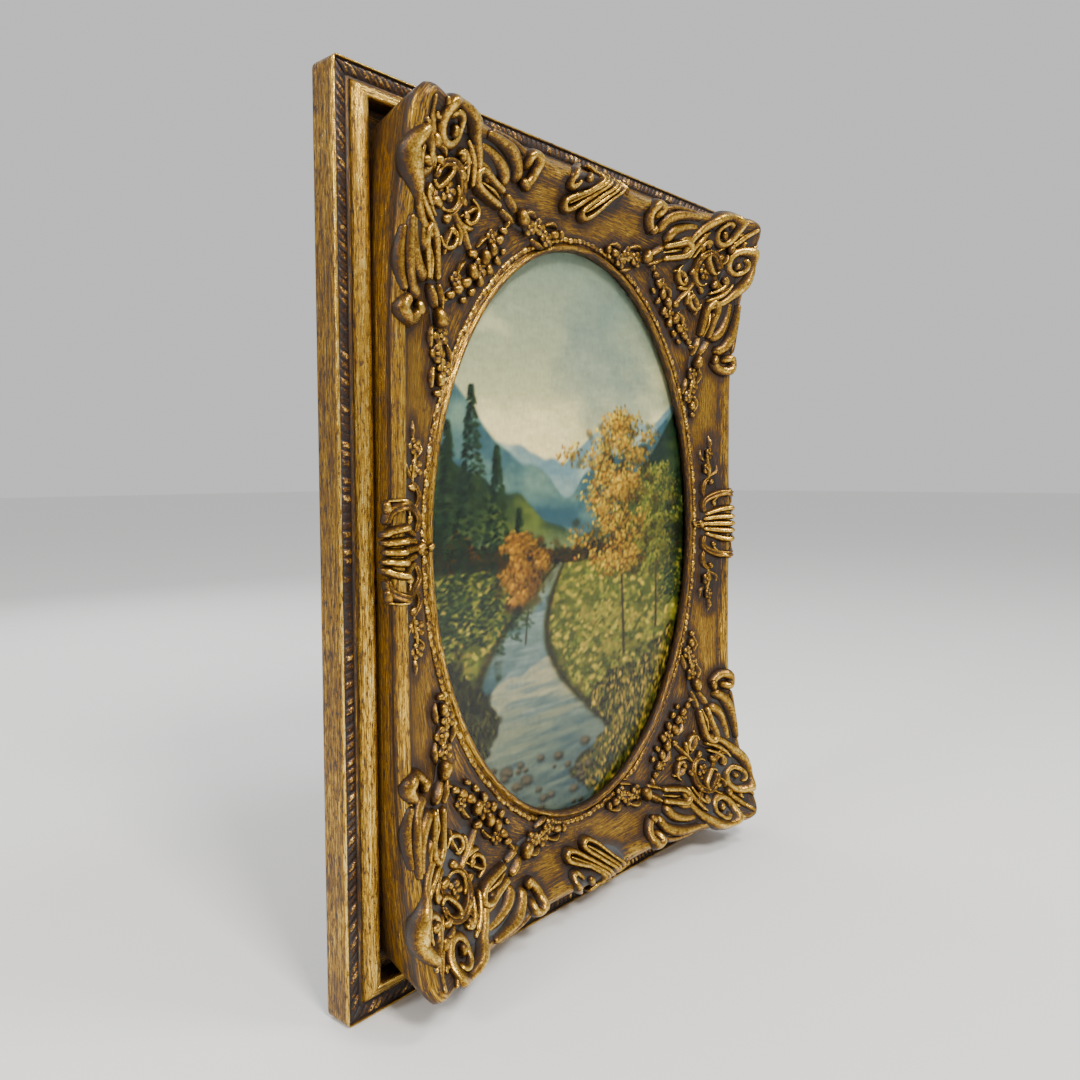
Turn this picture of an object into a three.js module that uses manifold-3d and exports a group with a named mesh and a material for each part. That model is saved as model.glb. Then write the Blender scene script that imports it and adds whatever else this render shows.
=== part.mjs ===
// Framed oil painting: an oval picture under domed glass in a gilt double frame.
// Millimetres. +X is right, +Z is up, and -Y points out of the wall, so a depth d lies at y = -d.
// The origin is on the back of the top rail, in the middle of its width, where the wall holds it.

import * as THREE from 'three';
import { mergeVertices } from 'three/addons/utils/BufferGeometryUtils.js';
import Module from 'manifold-3d';

const wasm = await Module();
wasm.setup();

// Driving dimensions

const outerWidth = 354;
const outerHeight = 464;
const sightWidth = 246;
const sightHeight = 340;
const clearance = 0.3;

// Back frame
const backRailWidth = 40;
const backRailDepth = 16;
const backCornerRadius = 4;
const beadStripWidth = 8.5;
const ovoloWidth = 7.5;
const ovoloRise = 5.5;
const ledgeDepth = 9;

// Front frame
const shoulder = 19;
const earDepth = 62;
const crestDepth = 35;
const hollowDepth = 22;
const lipDepth = 22.5;
const lipEdgeDepth = 19;
const lipWidth = 9.5;
const rabbetWidth = 6;
const rimWidth = 6;
const ridgeRise = 2.5;
const earRadius = 11;
const earReach = 126;
const earFlare = 4;
const earTuck = 8;
const cuspRise = 2.5;
const cuspReach = 45;
const hollowPower = 1.7;
const liftPower = 2.2;

// Picture, glass and back
const glassThickness = 2;
const glassRise = 7;
const boardThickness = 3;
const pointCount = 8;
const pointLength = 10;
const pointWidth = 8;
const pointThickness = 0.6;

// Hanger
const hangerLength = 52;
const hangerHeight = 9;
const hangerThickness = 1.2;
const hangerTeeth = 7;
const toothHeight = 1.8;
const hangerDrop = 11;
const recessDepth = 3;
const screwRadius = 1.3;
const screwHeadRadius = 2.7;
const screwHeadHeight = 1.2;
const screwLength = 6;

// Carving: laid out in cells, so many along each half of the front frame and across a side rail
const widthCellCount = 158;
const heightCellCount = 213;
const sideCellCount = 35;
const footSink = 2;
const bedMargin = 2 * clearance;
const overhangDrop = 3;

// Facets: stations in a quarter turn, and the share of it that a straight arm of the outline takes
const frontStations = 14;
const glassStations = 6;
const armShare = 0.42;
const screwSides = 6;

// Sizes that follow from the driving dimensions

const halfOuterWidth = outerWidth / 2;
const halfOuterHeight = outerHeight / 2;
const halfSightWidth = sightWidth / 2;
const halfSightHeight = sightHeight / 2;
const halfFrontWidth = halfOuterWidth - shoulder;
const halfFrontHeight = halfOuterHeight - shoulder;
const frontBase = ledgeDepth + clearance;
const rimFootDepth = crestDepth - ridgeRise;
const glassSeat = lipEdgeDepth - 2.1;
const glassEdgeDepth = glassSeat - clearance;
const pictureDepth = glassEdgeDepth - glassThickness - clearance;
const centreDrop = halfOuterHeight - backRailWidth / 2;
const cellX = halfFrontWidth / widthCellCount;
const cellZ = halfFrontHeight / heightCellCount;
const sideCell = (halfFrontWidth - halfSightWidth) / sideCellCount;
const carvingUnit = (cellX + cellZ) / 2;

// Colours

const gold = { color: 0xa9792a, roughness: 0.45, metalness: 0.55 };
const darkGold = { color: 0x8a5f22, roughness: 0.5, metalness: 0.5 };
const bronzeGold = { color: 0x9a7440, roughness: 0.42, metalness: 0.6 };
const clearGlass = { color: 0xdfe8e6, roughness: 0.05, metalness: 0, transparent: true, opacity: 0.3 };
const paint = { color: 0x6f8172, roughness: 0.5, metalness: 0 };
const hardboard = { color: 0x6b4a2e, roughness: 0.85, metalness: 0 };
const steel = { color: 0xb8b4a6, roughness: 0.35, metalness: 0.9 };

// Meshes and solids

function point(x, depth, z) {
  return new THREE.Vector3(x, -depth, z);
}

function signedVolume(positions, index) {
  let volume = 0;
  const corner = (i) => new THREE.Vector3().fromArray(positions, 3 * i);
  for (let i = 0; i < index.length; i += 3) {
    const cross = corner(index[i + 1]).cross(corner(index[i + 2]));
    volume += corner(index[i]).dot(cross) / 6;
  }
  return volume;
}

function reversed(index) {
  const flipped = [];
  for (let i = 0; i < index.length; i += 3) {
    flipped.push(index[i], index[i + 2], index[i + 1]);
  }
  return flipped;
}

function closedGeometry(positions, index) {
  const outward = signedVolume(positions, index) > 0 ? index : reversed(index);
  const geometry = new THREE.BufferGeometry();
  geometry.setAttribute('position', new THREE.Float32BufferAttribute(positions, 3));
  geometry.setIndex(outward);
  return geometry;
}

// Joins rings of points into one closed skin: round and round, or with a flat cap at each end.
function loft(rings, { wrap = false, cap = null } = {}) {
  const count = rings[0].length;
  const positions = rings.flat().flatMap((p) => [p.x, p.y, p.z]);
  const index = [];
  const spans = wrap ? rings.length : rings.length - 1;
  for (let r = 0; r < spans; r += 1) {
    const here = r * count;
    const next = ((r + 1) % rings.length) * count;
    for (let i = 0; i < count; i += 1) {
      const j = (i + 1) % count;
      index.push(here + i, here + j, next + j);
      index.push(here + i, next + j, next + i);
    }
  }
  if (!wrap) {
    const faces = cap ?? fan(count);
    const last = (rings.length - 1) * count;
    for (const [a, b, c] of faces) {
      index.push(a, c, b);
      index.push(last + a, last + b, last + c);
    }
  }
  return closedGeometry(positions, index);
}

function fan(count) {
  return Array.from({ length: count - 2 }, (_, i) => [0, i + 1, i + 2]);
}

function toSolid(geometry) {
  const bare = geometry.clone();
  bare.deleteAttribute('normal');
  bare.deleteAttribute('uv');
  const merged = mergeVertices(bare);
  const vertProperties = new Float32Array(merged.attributes.position.array);
  const triVerts = new Uint32Array(merged.index.array);
  return new wasm.Manifold(new wasm.Mesh({ numProp: 3, vertProperties, triVerts }));
}

function toGeometry(solid) {
  const mesh = solid.getMesh();
  const geometry = new THREE.BufferGeometry();
  geometry.setAttribute('position', new THREE.BufferAttribute(mesh.vertProperties.slice(), 3));
  geometry.setIndex(Array.from(mesh.triVerts));
  return geometry;
}

function mirrored(geometry, signX, signZ) {
  const copy = geometry.clone().scale(signX, 1, signZ);
  if (signX * signZ < 0) {
    copy.setIndex(reversed(Array.from(copy.index.array)));
  }
  return copy;
}

// Front frame: where its outline runs and how far it stands out from the wall

function cornerNearness(x, z) {
  const distance = Math.hypot(Math.abs(x) - halfFrontWidth, Math.abs(z) - halfFrontHeight);
  return Math.max(0, 1 - distance / earReach);
}

function cuspNearness(x, z) {
  const fromMiddle = Math.min(Math.abs(x), Math.abs(z));
  return Math.max(0, 1 - fromMiddle / cuspReach);
}

function outlineSweep(x, z) {
  return earFlare * cornerNearness(x, z) ** 2 + cuspRise * cuspNearness(x, z) ** 2;
}

function earLift(x, z) {
  return (earDepth - crestDepth) * cornerNearness(x, z) ** liftPower;
}

function insideOutline(x, z) {
  const overX = Math.abs(x) - (halfFrontWidth - earRadius);
  const overZ = Math.abs(z) - (halfFrontHeight - earRadius);
  const outside = Math.hypot(Math.max(overX, 0), Math.max(overZ, 0));
  return earRadius - outside - Math.min(Math.max(overX, overZ), 0) + outlineSweep(x, z);
}

function outsideLip(x, z) {
  const a = halfSightWidth + lipWidth;
  const b = halfSightHeight + lipWidth;
  const k = Math.hypot(x / a, z / b);
  return Math.max(0, (k * (k - 1)) / Math.hypot(x / a ** 2, z / b ** 2));
}

// Depth of the carved front: a hollow that climbs from the oval to a half-round rim.
function frontDepth(x, z) {
  const toRim = Math.max(0, insideOutline(x, z) - rimWidth);
  const fromLip = outsideLip(x, z);
  const across = fromLip / Math.max(fromLip + toRim, 1e-6);
  const foot = rimFootDepth + earLift(x, z);
  const rim = THREE.MathUtils.clamp(insideOutline(x, z) / rimWidth, 0, 1);
  return hollowDepth + (foot - hollowDepth) * across ** hollowPower + ridgeRise * Math.sin(Math.PI * rim);
}

// One quarter of the outline, from the middle of the right side to the middle of the top.
function quarterOutline(t) {
  const armZ = halfFrontHeight - earRadius;
  const armX = halfFrontWidth - earRadius;
  if (t <= armShare) {
    return { x: halfFrontWidth, z: (armZ * t) / armShare, nx: 1, nz: 0 };
  }
  if (t >= 1 - armShare) {
    return { x: (armX * (1 - t)) / armShare, z: halfFrontHeight, nx: 0, nz: 1 };
  }
  const angle = ((t - armShare) / (1 - 2 * armShare)) * (Math.PI / 2);
  const nx = Math.cos(angle);
  const nz = Math.sin(angle);
  return { x: armX + earRadius * nx, z: armZ + earRadius * nz, nx, nz };
}

function outlinePoint(t, inset) {
  const base = quarterOutline(t);
  const shift = outlineSweep(base.x, base.z) - inset;
  return { x: base.x + base.nx * shift, z: base.z + base.nz * shift };
}

function ovalPoint(t, offset) {
  const angle = (t * Math.PI) / 2;
  return { x: (halfSightWidth + offset) * Math.cos(angle), z: (halfSightHeight + offset) * Math.sin(angle) };
}

// Points of the front frame's cross-section at one station, from the rabbet to the wall's foot.
function frontSection(t) {
  const section = [];
  const oval = (offset, depth) => {
    const p = ovalPoint(t, offset);
    section.push(point(p.x, depth, p.z));
  };
  oval(rabbetWidth, frontBase);
  oval(rabbetWidth, glassSeat);
  oval(0, glassSeat);
  oval(0, lipEdgeDepth);
  oval(lipWidth * 0.4, lipDepth);
  oval(lipWidth, hollowDepth);
  section.push(...hollowPoints(t, [0.28, 0.56, 0.8, 1], 0));
  section.push(frontPoint(outlinePoint(t, rimWidth / 2), 0));
  const edge = outlinePoint(t, 0);
  const drawn = outlineSweep(edge.x, edge.z) + earTuck * cornerNearness(edge.x, edge.z) ** 4;
  const wallTop = frontDepth(edge.x, edge.z) - ridgeRise / 2;
  const wall = (inset, depth) => {
    const p = outlinePoint(t, inset);
    section.push(point(p.x, depth, p.z));
  };
  wall(0, wallTop);
  wall(drawn * 0.4, THREE.MathUtils.lerp(frontBase, wallTop, 0.55));
  wall(drawn, frontBase);
  return section;
}

function frontPoint({ x, z }, raised) {
  return point(x, frontDepth(x, z) + raised, z);
}

// Points across the hollow, at shares of the way from the lip to the foot of the rim.
function hollowPoints(t, shares, raised) {
  const foot = ovalPoint(t, lipWidth);
  const rimFoot = outlinePoint(t, rimWidth);
  return shares.map((share) => frontPoint({
    x: THREE.MathUtils.lerp(foot.x, rimFoot.x, share),
    z: THREE.MathUtils.lerp(foot.z, rimFoot.z, share),
  }, raised));
}

// The same section in few points, raised a little: the bed that the castings are glued to.
function bedSection(t) {
  const inner = ovalPoint(t, -bedMargin);
  const outer = outlinePoint(t, -bedMargin);
  const edge = outlinePoint(t, 0);
  return [
    point(inner.x, frontBase - bedMargin, inner.z),
    point(inner.x, lipDepth + bedMargin, inner.z),
    ...hollowPoints(t, [0, 0.5, 1], bedMargin),
    frontPoint(outlinePoint(t, rimWidth / 2), bedMargin),
    point(outer.x, frontDepth(edge.x, edge.z), outer.z),
    point(outer.x, frontBase - bedMargin, outer.z),
  ];
}

function evenShares(stations) {
  return Array.from({ length: stations }, (_, i) => i / stations);
}

// Every second share, with those on either side of the ear's turn.
function coarseShares(shares) {
  const middle = shares.length / 2;
  return shares.filter((_, i) => i === 0 || i % 2 === 1 || Math.abs(i - middle) <= 1);
}

function quarterTurns(shares) {
  const turns = [];
  for (const [signX, signZ, back] of [[1, 1, false], [-1, 1, true], [-1, -1, false], [1, -1, true]]) {
    for (const share of shares) {
      turns.push({ t: back ? 1 - share : share, signX, signZ });
    }
  }
  return turns;
}

function allRound(section, shares) {
  const rings = quarterTurns(shares).map(({ t, signX, signZ }) => (
    section(t).map((p) => new THREE.Vector3(p.x * signX, p.y, p.z * signZ))
  ));
  return loft(rings, { wrap: true });
}

// Back frame: four mitred lengths of one moulding

function backSection() {
  const ovoloStart = beadStripWidth + 1;
  const section = [
    [0, 0],
    [0, backRailDepth - 1],
    [1, backRailDepth],
    [beadStripWidth - 0.8, backRailDepth],
    [beadStripWidth, backRailDepth - 1.5],
    [ovoloStart, backRailDepth - 1.5],
  ];
  for (const degrees of [22, 45, 68, 90]) {
    const angle = THREE.MathUtils.degToRad(degrees);
    const offset = ovoloStart + ovoloWidth * (1 - Math.cos(angle));
    section.push([offset, backRailDepth - 1.5 + ovoloRise * Math.sin(angle)]);
  }
  section.push([ovoloStart + ovoloWidth, ledgeDepth]);
  section.push([backRailWidth, ledgeDepth]);
  section.push([backRailWidth, 0]);
  return section.reverse();
}

function backRail(alongX, sign) {
  const section = backSection();
  const mitreGap = (clearance / 2) * Math.SQRT2;
  const ring = (end) => section.map(([offset, depth]) => {
    const along = end * ((alongX ? halfOuterWidth : halfOuterHeight) - offset - mitreGap);
    const out = sign * ((alongX ? halfOuterHeight : halfOuterWidth) - offset);
    return alongX ? point(along, depth, out) : point(out, depth, along);
  });
  const outline = section.map(([offset, depth]) => new THREE.Vector2(offset, depth));
  const cap = THREE.ShapeUtils.triangulateShape(outline, []);
  return toSolid(loft([ring(-1), ring(1)], { cap })).intersect(roundedBlock());
}

function roundedBlock() {
  const shape = new THREE.Shape();
  const reachX = halfOuterWidth - backCornerRadius;
  const reachZ = halfOuterHeight - backCornerRadius;
  shape.absarc(reachX, reachZ, backCornerRadius, 0, Math.PI / 2);
  shape.absarc(-reachX, reachZ, backCornerRadius, Math.PI / 2, Math.PI);
  shape.absarc(-reachX, -reachZ, backCornerRadius, Math.PI, 1.5 * Math.PI);
  shape.absarc(reachX, -reachZ, backCornerRadius, 1.5 * Math.PI, 2 * Math.PI);
  const depth = backRailDepth + ovoloRise + 2;
  const block = new THREE.ExtrudeGeometry(shape, { depth, bevelEnabled: false, curveSegments: 4 });
  block.rotateX(Math.PI / 2);
  block.translate(0, 1, 0);
  return toSolid(block);
}

// Bed of the carving: its facets in the first quarter, seen square on

const bedGeometry = allRound(bedSection, coarseShares(evenShares(frontStations)));
const bedSolid = toSolid(bedGeometry);

function bedFacets() {
  const places = bedGeometry.attributes.position;
  const index = bedGeometry.index.array;
  const facets = [];
  for (let i = 0; i < index.length; i += 3) {
    const [a, b, c] = [0, 1, 2].map((k) => new THREE.Vector3().fromBufferAttribute(places, index[i + k]));
    const facing = b.clone().sub(a).cross(c.clone().sub(a)).y;
    if (facing < -1e-6 && Math.max(a.x, b.x, c.x) > -1 && Math.max(a.z, b.z, c.z) > -1) {
      facets.push([a, b, c]);
    }
  }
  return facets;
}

const bed = bedFacets();

function facetWeights([a, b, c], x, z) {
  const area = (b.x - a.x) * (c.z - a.z) - (c.x - a.x) * (b.z - a.z);
  const v = ((x - a.x) * (c.z - a.z) - (c.x - a.x) * (z - a.z)) / area;
  const w = ((b.x - a.x) * (z - a.z) - (x - a.x) * (b.z - a.z)) / area;
  return [1 - v - w, v, w];
}

// Depth of the bed under a carving. Past the rim the carving hangs over with its foot drawn back.
function seatDepth(x, z) {
  for (const facet of bed) {
    const weights = facetWeights(facet, x, z);
    if (Math.min(...weights) >= -1e-6) {
      return -facet.reduce((sum, corner, k) => sum + weights[k] * corner.y, 0);
    }
  }
  return frontDepth(x, z) - overhangDrop;
}

// Places on the front: inward from the frame's corner, along a side rail, and along the top rail.
const cornerPlace = ([p, q]) => [halfFrontWidth - p * cellX, halfFrontHeight - q * cellZ];
const sidePlace = ([p, z]) => [halfFrontWidth - p * sideCell, z * cellZ];
const topPlace = ([x, q]) => [x * cellX, halfFrontHeight - q * cellZ];

// Cross-sections of a carving, as steps across its half width and up its rise.
const ridge = [[-1, 0], [0, 1], [1, 0]];
const strap = [[-1, 0], [-0.65, 1], [0.65, 1], [1, 0]];

// A carved stroke along a curve through places on the front, its half width and rise in cells.
// It tapers towards both ends, and bulges stand for the flowers or berries strung along it.
// Its foot is sunk in the bed.
function stroke(places, widthCells, riseCells, steps, { section = ridge, tip = 0.35, bulges = 0 } = {}) {
  const width = widthCells * carvingUnit;
  const rise = riseCells * carvingUnit;
  const flat = places.map(([x, z]) => new THREE.Vector3(x, 0, z));
  const curve = new THREE.CatmullRomCurve3(flat, false, 'centripetal');
  const rings = [];
  for (let s = 0; s <= steps; s += 1) {
    const share = s / steps;
    const centre = curve.getPointAt(share);
    const tangent = curve.getTangentAt(share);
    const taper = THREE.MathUtils.lerp(tip, 1, Math.min(1, 4 * Math.sin(Math.PI * share)));
    const swell = bulges > 0 ? taper * (0.5 + 0.5 * Math.abs(Math.sin(Math.PI * bulges * share))) : taper;
    const heart = seatDepth(centre.x, centre.z);
    rings.push(section.map(([across, up]) => {
      const x = centre.x + tangent.z * across * width * swell;
      const z = centre.z - tangent.x * across * width * swell;
      const foot = seatDepth(x, z);
      return point(x, up > 0 ? Math.max(heart, foot) + up * rise * swell : foot - footSink, z);
    }));
  }
  return loft(rings);
}

// Fuses the strokes of one casting and cuts away what is sunk in the bed.
function casting(geometries) {
  const whole = geometries.map(toSolid).reduce((sum, piece) => sum.add(piece));
  return toGeometry(whole.subtract(bedSolid));
}

// Carving of one arm of a corner: scroll, leaf fingers, strap and spray of flowers.
function cornerArm(swap) {
  const along = (places) => places.map(([p, q]) => cornerPlace(swap ? [q, p] : [p, q]));
  return [
    stroke(along([[45, 39], [56, 31], [53, 12], [40, 1], [28, -3], [18, -1], [15, 7], [23, 13]]),
      5, 7, 8, { tip: 0.7 }),
    stroke(along([[52, 4], [66, 8], [77, 20]]), 6.5, 6.5, 2, { tip: 0.6 }),
    stroke(along([[50, 0], [70, 0], [98, 6]]), 5.5, 7.5, 2, { tip: 0.9 }),
    stroke(along([[90, 20], [97, 7], [95, -4]]), 5.5, 8, 2, { tip: 0.7 }),
    stroke(along([[53, 20], [68, 24], [84, 29]]), 6, 5, 1, { tip: 0.8 }),
    stroke(along([[81, 28], [96, 34], [112, 38], [129, 34]]), 6.5, 6, 4, { bulges: 2, tip: 0.5 }),
  ];
}

// Carving on a corner's diagonal: the ear's rib, the cartouche and the string of berries.
function cornerCentre() {
  const path = (places) => places.map(cornerPlace);
  const heart = 36;
  const cartouche = [];
  for (let degrees = -135; degrees <= 225; degrees += 72) {
    const angle = THREE.MathUtils.degToRad(degrees);
    cartouche.push([heart + 12 * Math.cos(angle), heart + 12 * Math.sin(angle)]);
  }
  return [
    stroke(path([[4, 4], [11, 11], [19, 18], [29, 29]]), 5, 6, 2, { tip: 0.7 }),
    stroke(path(cartouche), 4.5, 6, 6, { tip: 0.8 }),
    stroke(path([[32, 32], [42, 42], [54, 54], [68, 68]]), 5, 6, 2, { tip: 0.7 }),
    stroke(path([[67, 38], [52, 51], [38, 67]]), 3.6, 4.5, 2, { tip: 0.5 }),
    stroke(path([[83, 49], [66, 66], [49, 83]]), 7, 6, 6, { bulges: 3, tip: 0.6 }),
  ];
}

function cornerOrnament() {
  return casting([...cornerArm(false), ...cornerArm(true), ...cornerCentre()]);
}

// Carving of half a side ornament: the curl over the rim and the spray along the hollow.
function sideHalf(sign) {
  const path = (places) => places.map(([p, z]) => sidePlace([p, sign * z]));
  return [
    stroke(path([[20, 9], [19, 19], [7, 25], [-4, 23], [-6, 12]]), 5, 7, 4, { tip: 0.6 }),
    stroke(path([[17, 4], [20, 25], [17, 45], [18, 63]]), 5.5, 6, 3, { tip: 0.7 }),
  ];
}

function sideOrnament() {
  const ribs = [-9, -4.5, 0, 4.5, 9].map((z) => (
    stroke([[22, z], [9, z], [-6, z]].map(sidePlace), 3.4, 6.5, 2, { tip: 0.8 })
  ));
  const bar = stroke([[14, 0], [30, 0]].map(sidePlace), 4.4, 5.5, 2, { tip: 0.6 });
  return casting([...ribs, bar, ...sideHalf(1), ...sideHalf(-1)]);
}

// Carving of the crest ornament: slanted shell ribs, a loop at their inner end and a leaf.
function crestOrnament() {
  const ribs = [-11, -5.5, 0, 5.5, 11].map((shift) => {
    const inner = shift < 0 ? 21 : 17;
    const places = [[shift + 13, -4], [shift + 11, 1], [shift + 3, 9], [shift - 8, inner]];
    return stroke(places.map(topPlace), 3.4, 6.5, 2, { tip: 0.7 });
  });
  const loop = [[-22, 22], [-18, 10], [-20, 1], [-10, -4], [3, -3]].map(topPlace);
  const leaf = [[12, 0], [21, 3], [29, 2]].map(topPlace);
  return casting([
    ...ribs,
    stroke(loop, 4.5, 6.5, 4, { tip: 0.8 }),
    stroke(leaf, 6.5, 7, 2, { section: strap, tip: 0.6 }),
  ]);
}

// Picture, glass and backing

function ovalRing(offset, depth, share = 1) {
  return quarterTurns(evenShares(glassStations)).map(({ t, signX, signZ }) => {
    const p = ovalPoint(t, offset);
    return point(p.x * signX * share, depth, p.z * signZ * share);
  });
}

function glass() {
  const edge = rabbetWidth - 2 * clearance;
  const shares = [1, 0.6, 0.15];
  const domed = (depth) => shares.map((share) => (
    ovalRing(0, depth + glassRise * (1 - share ** 2), share)
  ));
  const front = domed(glassEdgeDepth).reverse();
  const back = domed(glassEdgeDepth - glassThickness);
  const flange = [ovalRing(edge, glassEdgeDepth), ovalRing(edge, glassEdgeDepth - glassThickness)];
  return loft([...front, ...flange, ...back]);
}

function picture() {
  const edge = rabbetWidth - 2 * clearance;
  return loft([ovalRing(edge, pictureDepth), ovalRing(edge, frontBase)]);
}

function backingBoard() {
  const width = outerWidth - 2 * backRailWidth - 4 * clearance;
  const height = outerHeight - 2 * backRailWidth - 4 * clearance;
  const board = new THREE.BoxGeometry(width, boardThickness, height);
  return board.translate(0, -(ledgeDepth - boardThickness / 2), 0);
}

// A thin steel triangle whose base meets the inner edge of a rail.
function retainingPoint() {
  const shape = new THREE.Shape();
  shape.moveTo(-pointWidth / 2, 0);
  shape.lineTo(pointWidth / 2, 0);
  shape.lineTo(0, pointLength);
  shape.closePath();
  const plate = new THREE.ExtrudeGeometry(shape, { depth: pointThickness, bevelEnabled: false });
  return plate.rotateX(Math.PI / 2);
}

function pointPlaces() {
  const reachX = halfOuterWidth - backRailWidth - clearance;
  const reachZ = halfOuterHeight - backRailWidth - clearance;
  const places = [];
  for (let i = 0; i < pointCount; i += 1) {
    const turn = Math.floor(i / 2) % 4;
    const onSide = turn % 2 === 1;
    const sign = turn < 2 ? 1 : -1;
    const along = (i % 2 === 0 ? -1 : 1) * (onSide ? reachZ : reachX) * 0.5;
    places.push({
      x: onSide ? sign * reachX : along,
      z: onSide ? along : sign * reachZ,
      turn: [Math.PI, -Math.PI / 2, 0, Math.PI / 2][turn],
    });
  }
  return places;
}

// Hanger: a toothed steel strip in a recess of the top rail

function hangerRecess() {
  const margin = 2 * clearance;
  const size = [hangerLength + 2 * margin, recessDepth + 1, hangerHeight + 2 * margin];
  return new THREE.BoxGeometry(...size).translate(0, -(recessDepth - 1) / 2, hangerZ());
}

function hangerZ() {
  return centreDrop - hangerDrop;
}

function screwPlaces() {
  return [-1, 1].map((sign) => sign * (hangerLength / 2 - screwHeadRadius - 1.5));
}

function hangerDepth() {
  return recessDepth - clearance;
}

function hanger() {
  const top = hangerHeight / 2;
  const toothSpan = hangerLength * 0.5;
  const pitch = toothSpan / hangerTeeth;
  const shape = new THREE.Shape();
  shape.moveTo(-hangerLength / 2, -top);
  shape.lineTo(-toothSpan / 2, -top);
  for (let i = 0; i < hangerTeeth; i += 1) {
    shape.lineTo(-toothSpan / 2 + pitch * (i + 0.5), -top + toothHeight);
    shape.lineTo(-toothSpan / 2 + pitch * (i + 1), -top);
  }
  shape.lineTo(hangerLength / 2, -top);
  shape.lineTo(hangerLength / 2, top);
  shape.lineTo(-hangerLength / 2, top);
  for (const x of screwPlaces()) {
    const hole = new THREE.Path();
    hole.absarc(x, 0, screwRadius + clearance, 0, 2 * Math.PI);
    shape.holes.push(hole);
  }
  const strip = new THREE.ExtrudeGeometry(shape, {
    depth: hangerThickness,
    bevelEnabled: false,
    curveSegments: 5,
  });
  strip.rotateX(Math.PI / 2);
  return strip.translate(0, -(hangerDepth() - hangerThickness), hangerZ());
}

function hangerScrew() {
  const seat = hangerDepth() - hangerThickness - clearance;
  const profile = [
    [0, seat - screwHeadHeight],
    [screwHeadRadius * 0.6, seat - screwHeadHeight],
    [screwHeadRadius, seat - screwHeadHeight * 0.4],
    [screwHeadRadius, seat],
    [screwRadius, seat],
    [screwRadius, seat + screwLength - 1],
    [0, seat + screwLength],
  ];
  const outline = profile.reverse().map(([r, d]) => new THREE.Vector2(r, -d));
  const lathe = new THREE.LatheGeometry(outline, screwSides);
  return mergeVertices(withoutExtras(lathe));
}

function screwHole(x) {
  const length = hangerDepth() + screwLength + 1;
  const hole = new THREE.CylinderGeometry(screwRadius + clearance, screwRadius + clearance, length, screwSides);
  return hole.translate(x, -length / 2, hangerZ());
}

function withoutExtras(geometry) {
  geometry.deleteAttribute('normal');
  geometry.deleteAttribute('uv');
  return geometry;
}

// Scene graph

const root = new THREE.Group();
const work = new THREE.Group();
work.position.z = -centreDrop;
root.add(work);

function addPiece(name, geometry, look) {
  const mesh = new THREE.Mesh(geometry, new THREE.MeshStandardMaterial(look));
  mesh.name = name;
  work.add(mesh);
  return mesh;
}

const topRail = [hangerRecess(), ...screwPlaces().map(screwHole)]
  .reduce((rail, cut) => rail.subtract(toSolid(cut)), backRail(true, 1));
addPiece('back_rail_top', toGeometry(topRail), darkGold);
addPiece('back_rail_bottom', toGeometry(backRail(true, -1)), darkGold);
addPiece('back_rail_left', toGeometry(backRail(false, -1)), darkGold);
addPiece('back_rail_right', toGeometry(backRail(false, 1)), darkGold);

addPiece('front_frame', allRound(frontSection, evenShares(frontStations)), gold);

const corner = cornerOrnament();
for (const [name, signX, signZ] of [
  ['top_left', -1, 1],
  ['top_right', 1, 1],
  ['bottom_left', -1, -1],
  ['bottom_right', 1, -1],
]) {
  addPiece(`corner_ornament_${name}`, mirrored(corner, signX, signZ), bronzeGold);
}

const side = sideOrnament();
addPiece('side_ornament_left', mirrored(side, -1, 1), bronzeGold);
addPiece('side_ornament_right', mirrored(side, 1, 1), bronzeGold);
const crest = crestOrnament();
addPiece('crest_ornament_top', mirrored(crest, 1, 1), bronzeGold);
addPiece('crest_ornament_bottom', mirrored(crest, 1, -1), bronzeGold);

addPiece('domed_glass', glass(), clearGlass);
addPiece('painting', picture(), paint);
addPiece('backing_board', backingBoard(), hardboard);

pointPlaces().forEach((place, i) => {
  const plate = addPiece(`retaining_point_${i + 1}`, retainingPoint(), steel);
  plate.position.set(place.x, -(ledgeDepth - boardThickness - clearance - pointThickness), place.z);
  plate.rotation.y = place.turn;
});

addPiece('sawtooth_hanger', hanger(), steel);
screwPlaces().forEach((x, i) => {
  const screw = addPiece(`hanger_screw_${i === 0 ? 'left' : 'right'}`, hangerScrew(), steel);
  screw.position.set(x, 0, hangerZ());
});

export default root;
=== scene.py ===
import math

import bmesh
import bpy
import numpy as np
from mathutils import Matrix, Vector
from mathutils.kdtree import KDTree


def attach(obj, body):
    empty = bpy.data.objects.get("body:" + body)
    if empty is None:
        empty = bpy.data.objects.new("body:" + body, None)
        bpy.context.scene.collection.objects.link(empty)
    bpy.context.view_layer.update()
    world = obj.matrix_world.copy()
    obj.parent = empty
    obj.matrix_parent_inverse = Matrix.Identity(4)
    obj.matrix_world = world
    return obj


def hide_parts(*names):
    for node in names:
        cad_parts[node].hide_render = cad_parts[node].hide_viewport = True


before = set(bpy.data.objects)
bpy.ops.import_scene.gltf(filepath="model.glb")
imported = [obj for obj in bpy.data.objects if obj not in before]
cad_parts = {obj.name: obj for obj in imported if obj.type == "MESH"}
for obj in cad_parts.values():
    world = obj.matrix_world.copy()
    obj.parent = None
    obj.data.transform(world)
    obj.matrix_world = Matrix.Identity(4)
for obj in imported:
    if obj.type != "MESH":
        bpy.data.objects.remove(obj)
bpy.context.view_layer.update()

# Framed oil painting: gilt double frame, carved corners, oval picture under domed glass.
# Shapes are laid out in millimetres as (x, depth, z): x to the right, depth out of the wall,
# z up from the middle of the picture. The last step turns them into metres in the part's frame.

rng = np.random.default_rng(7)

# Sizes repeated from the solids

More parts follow.
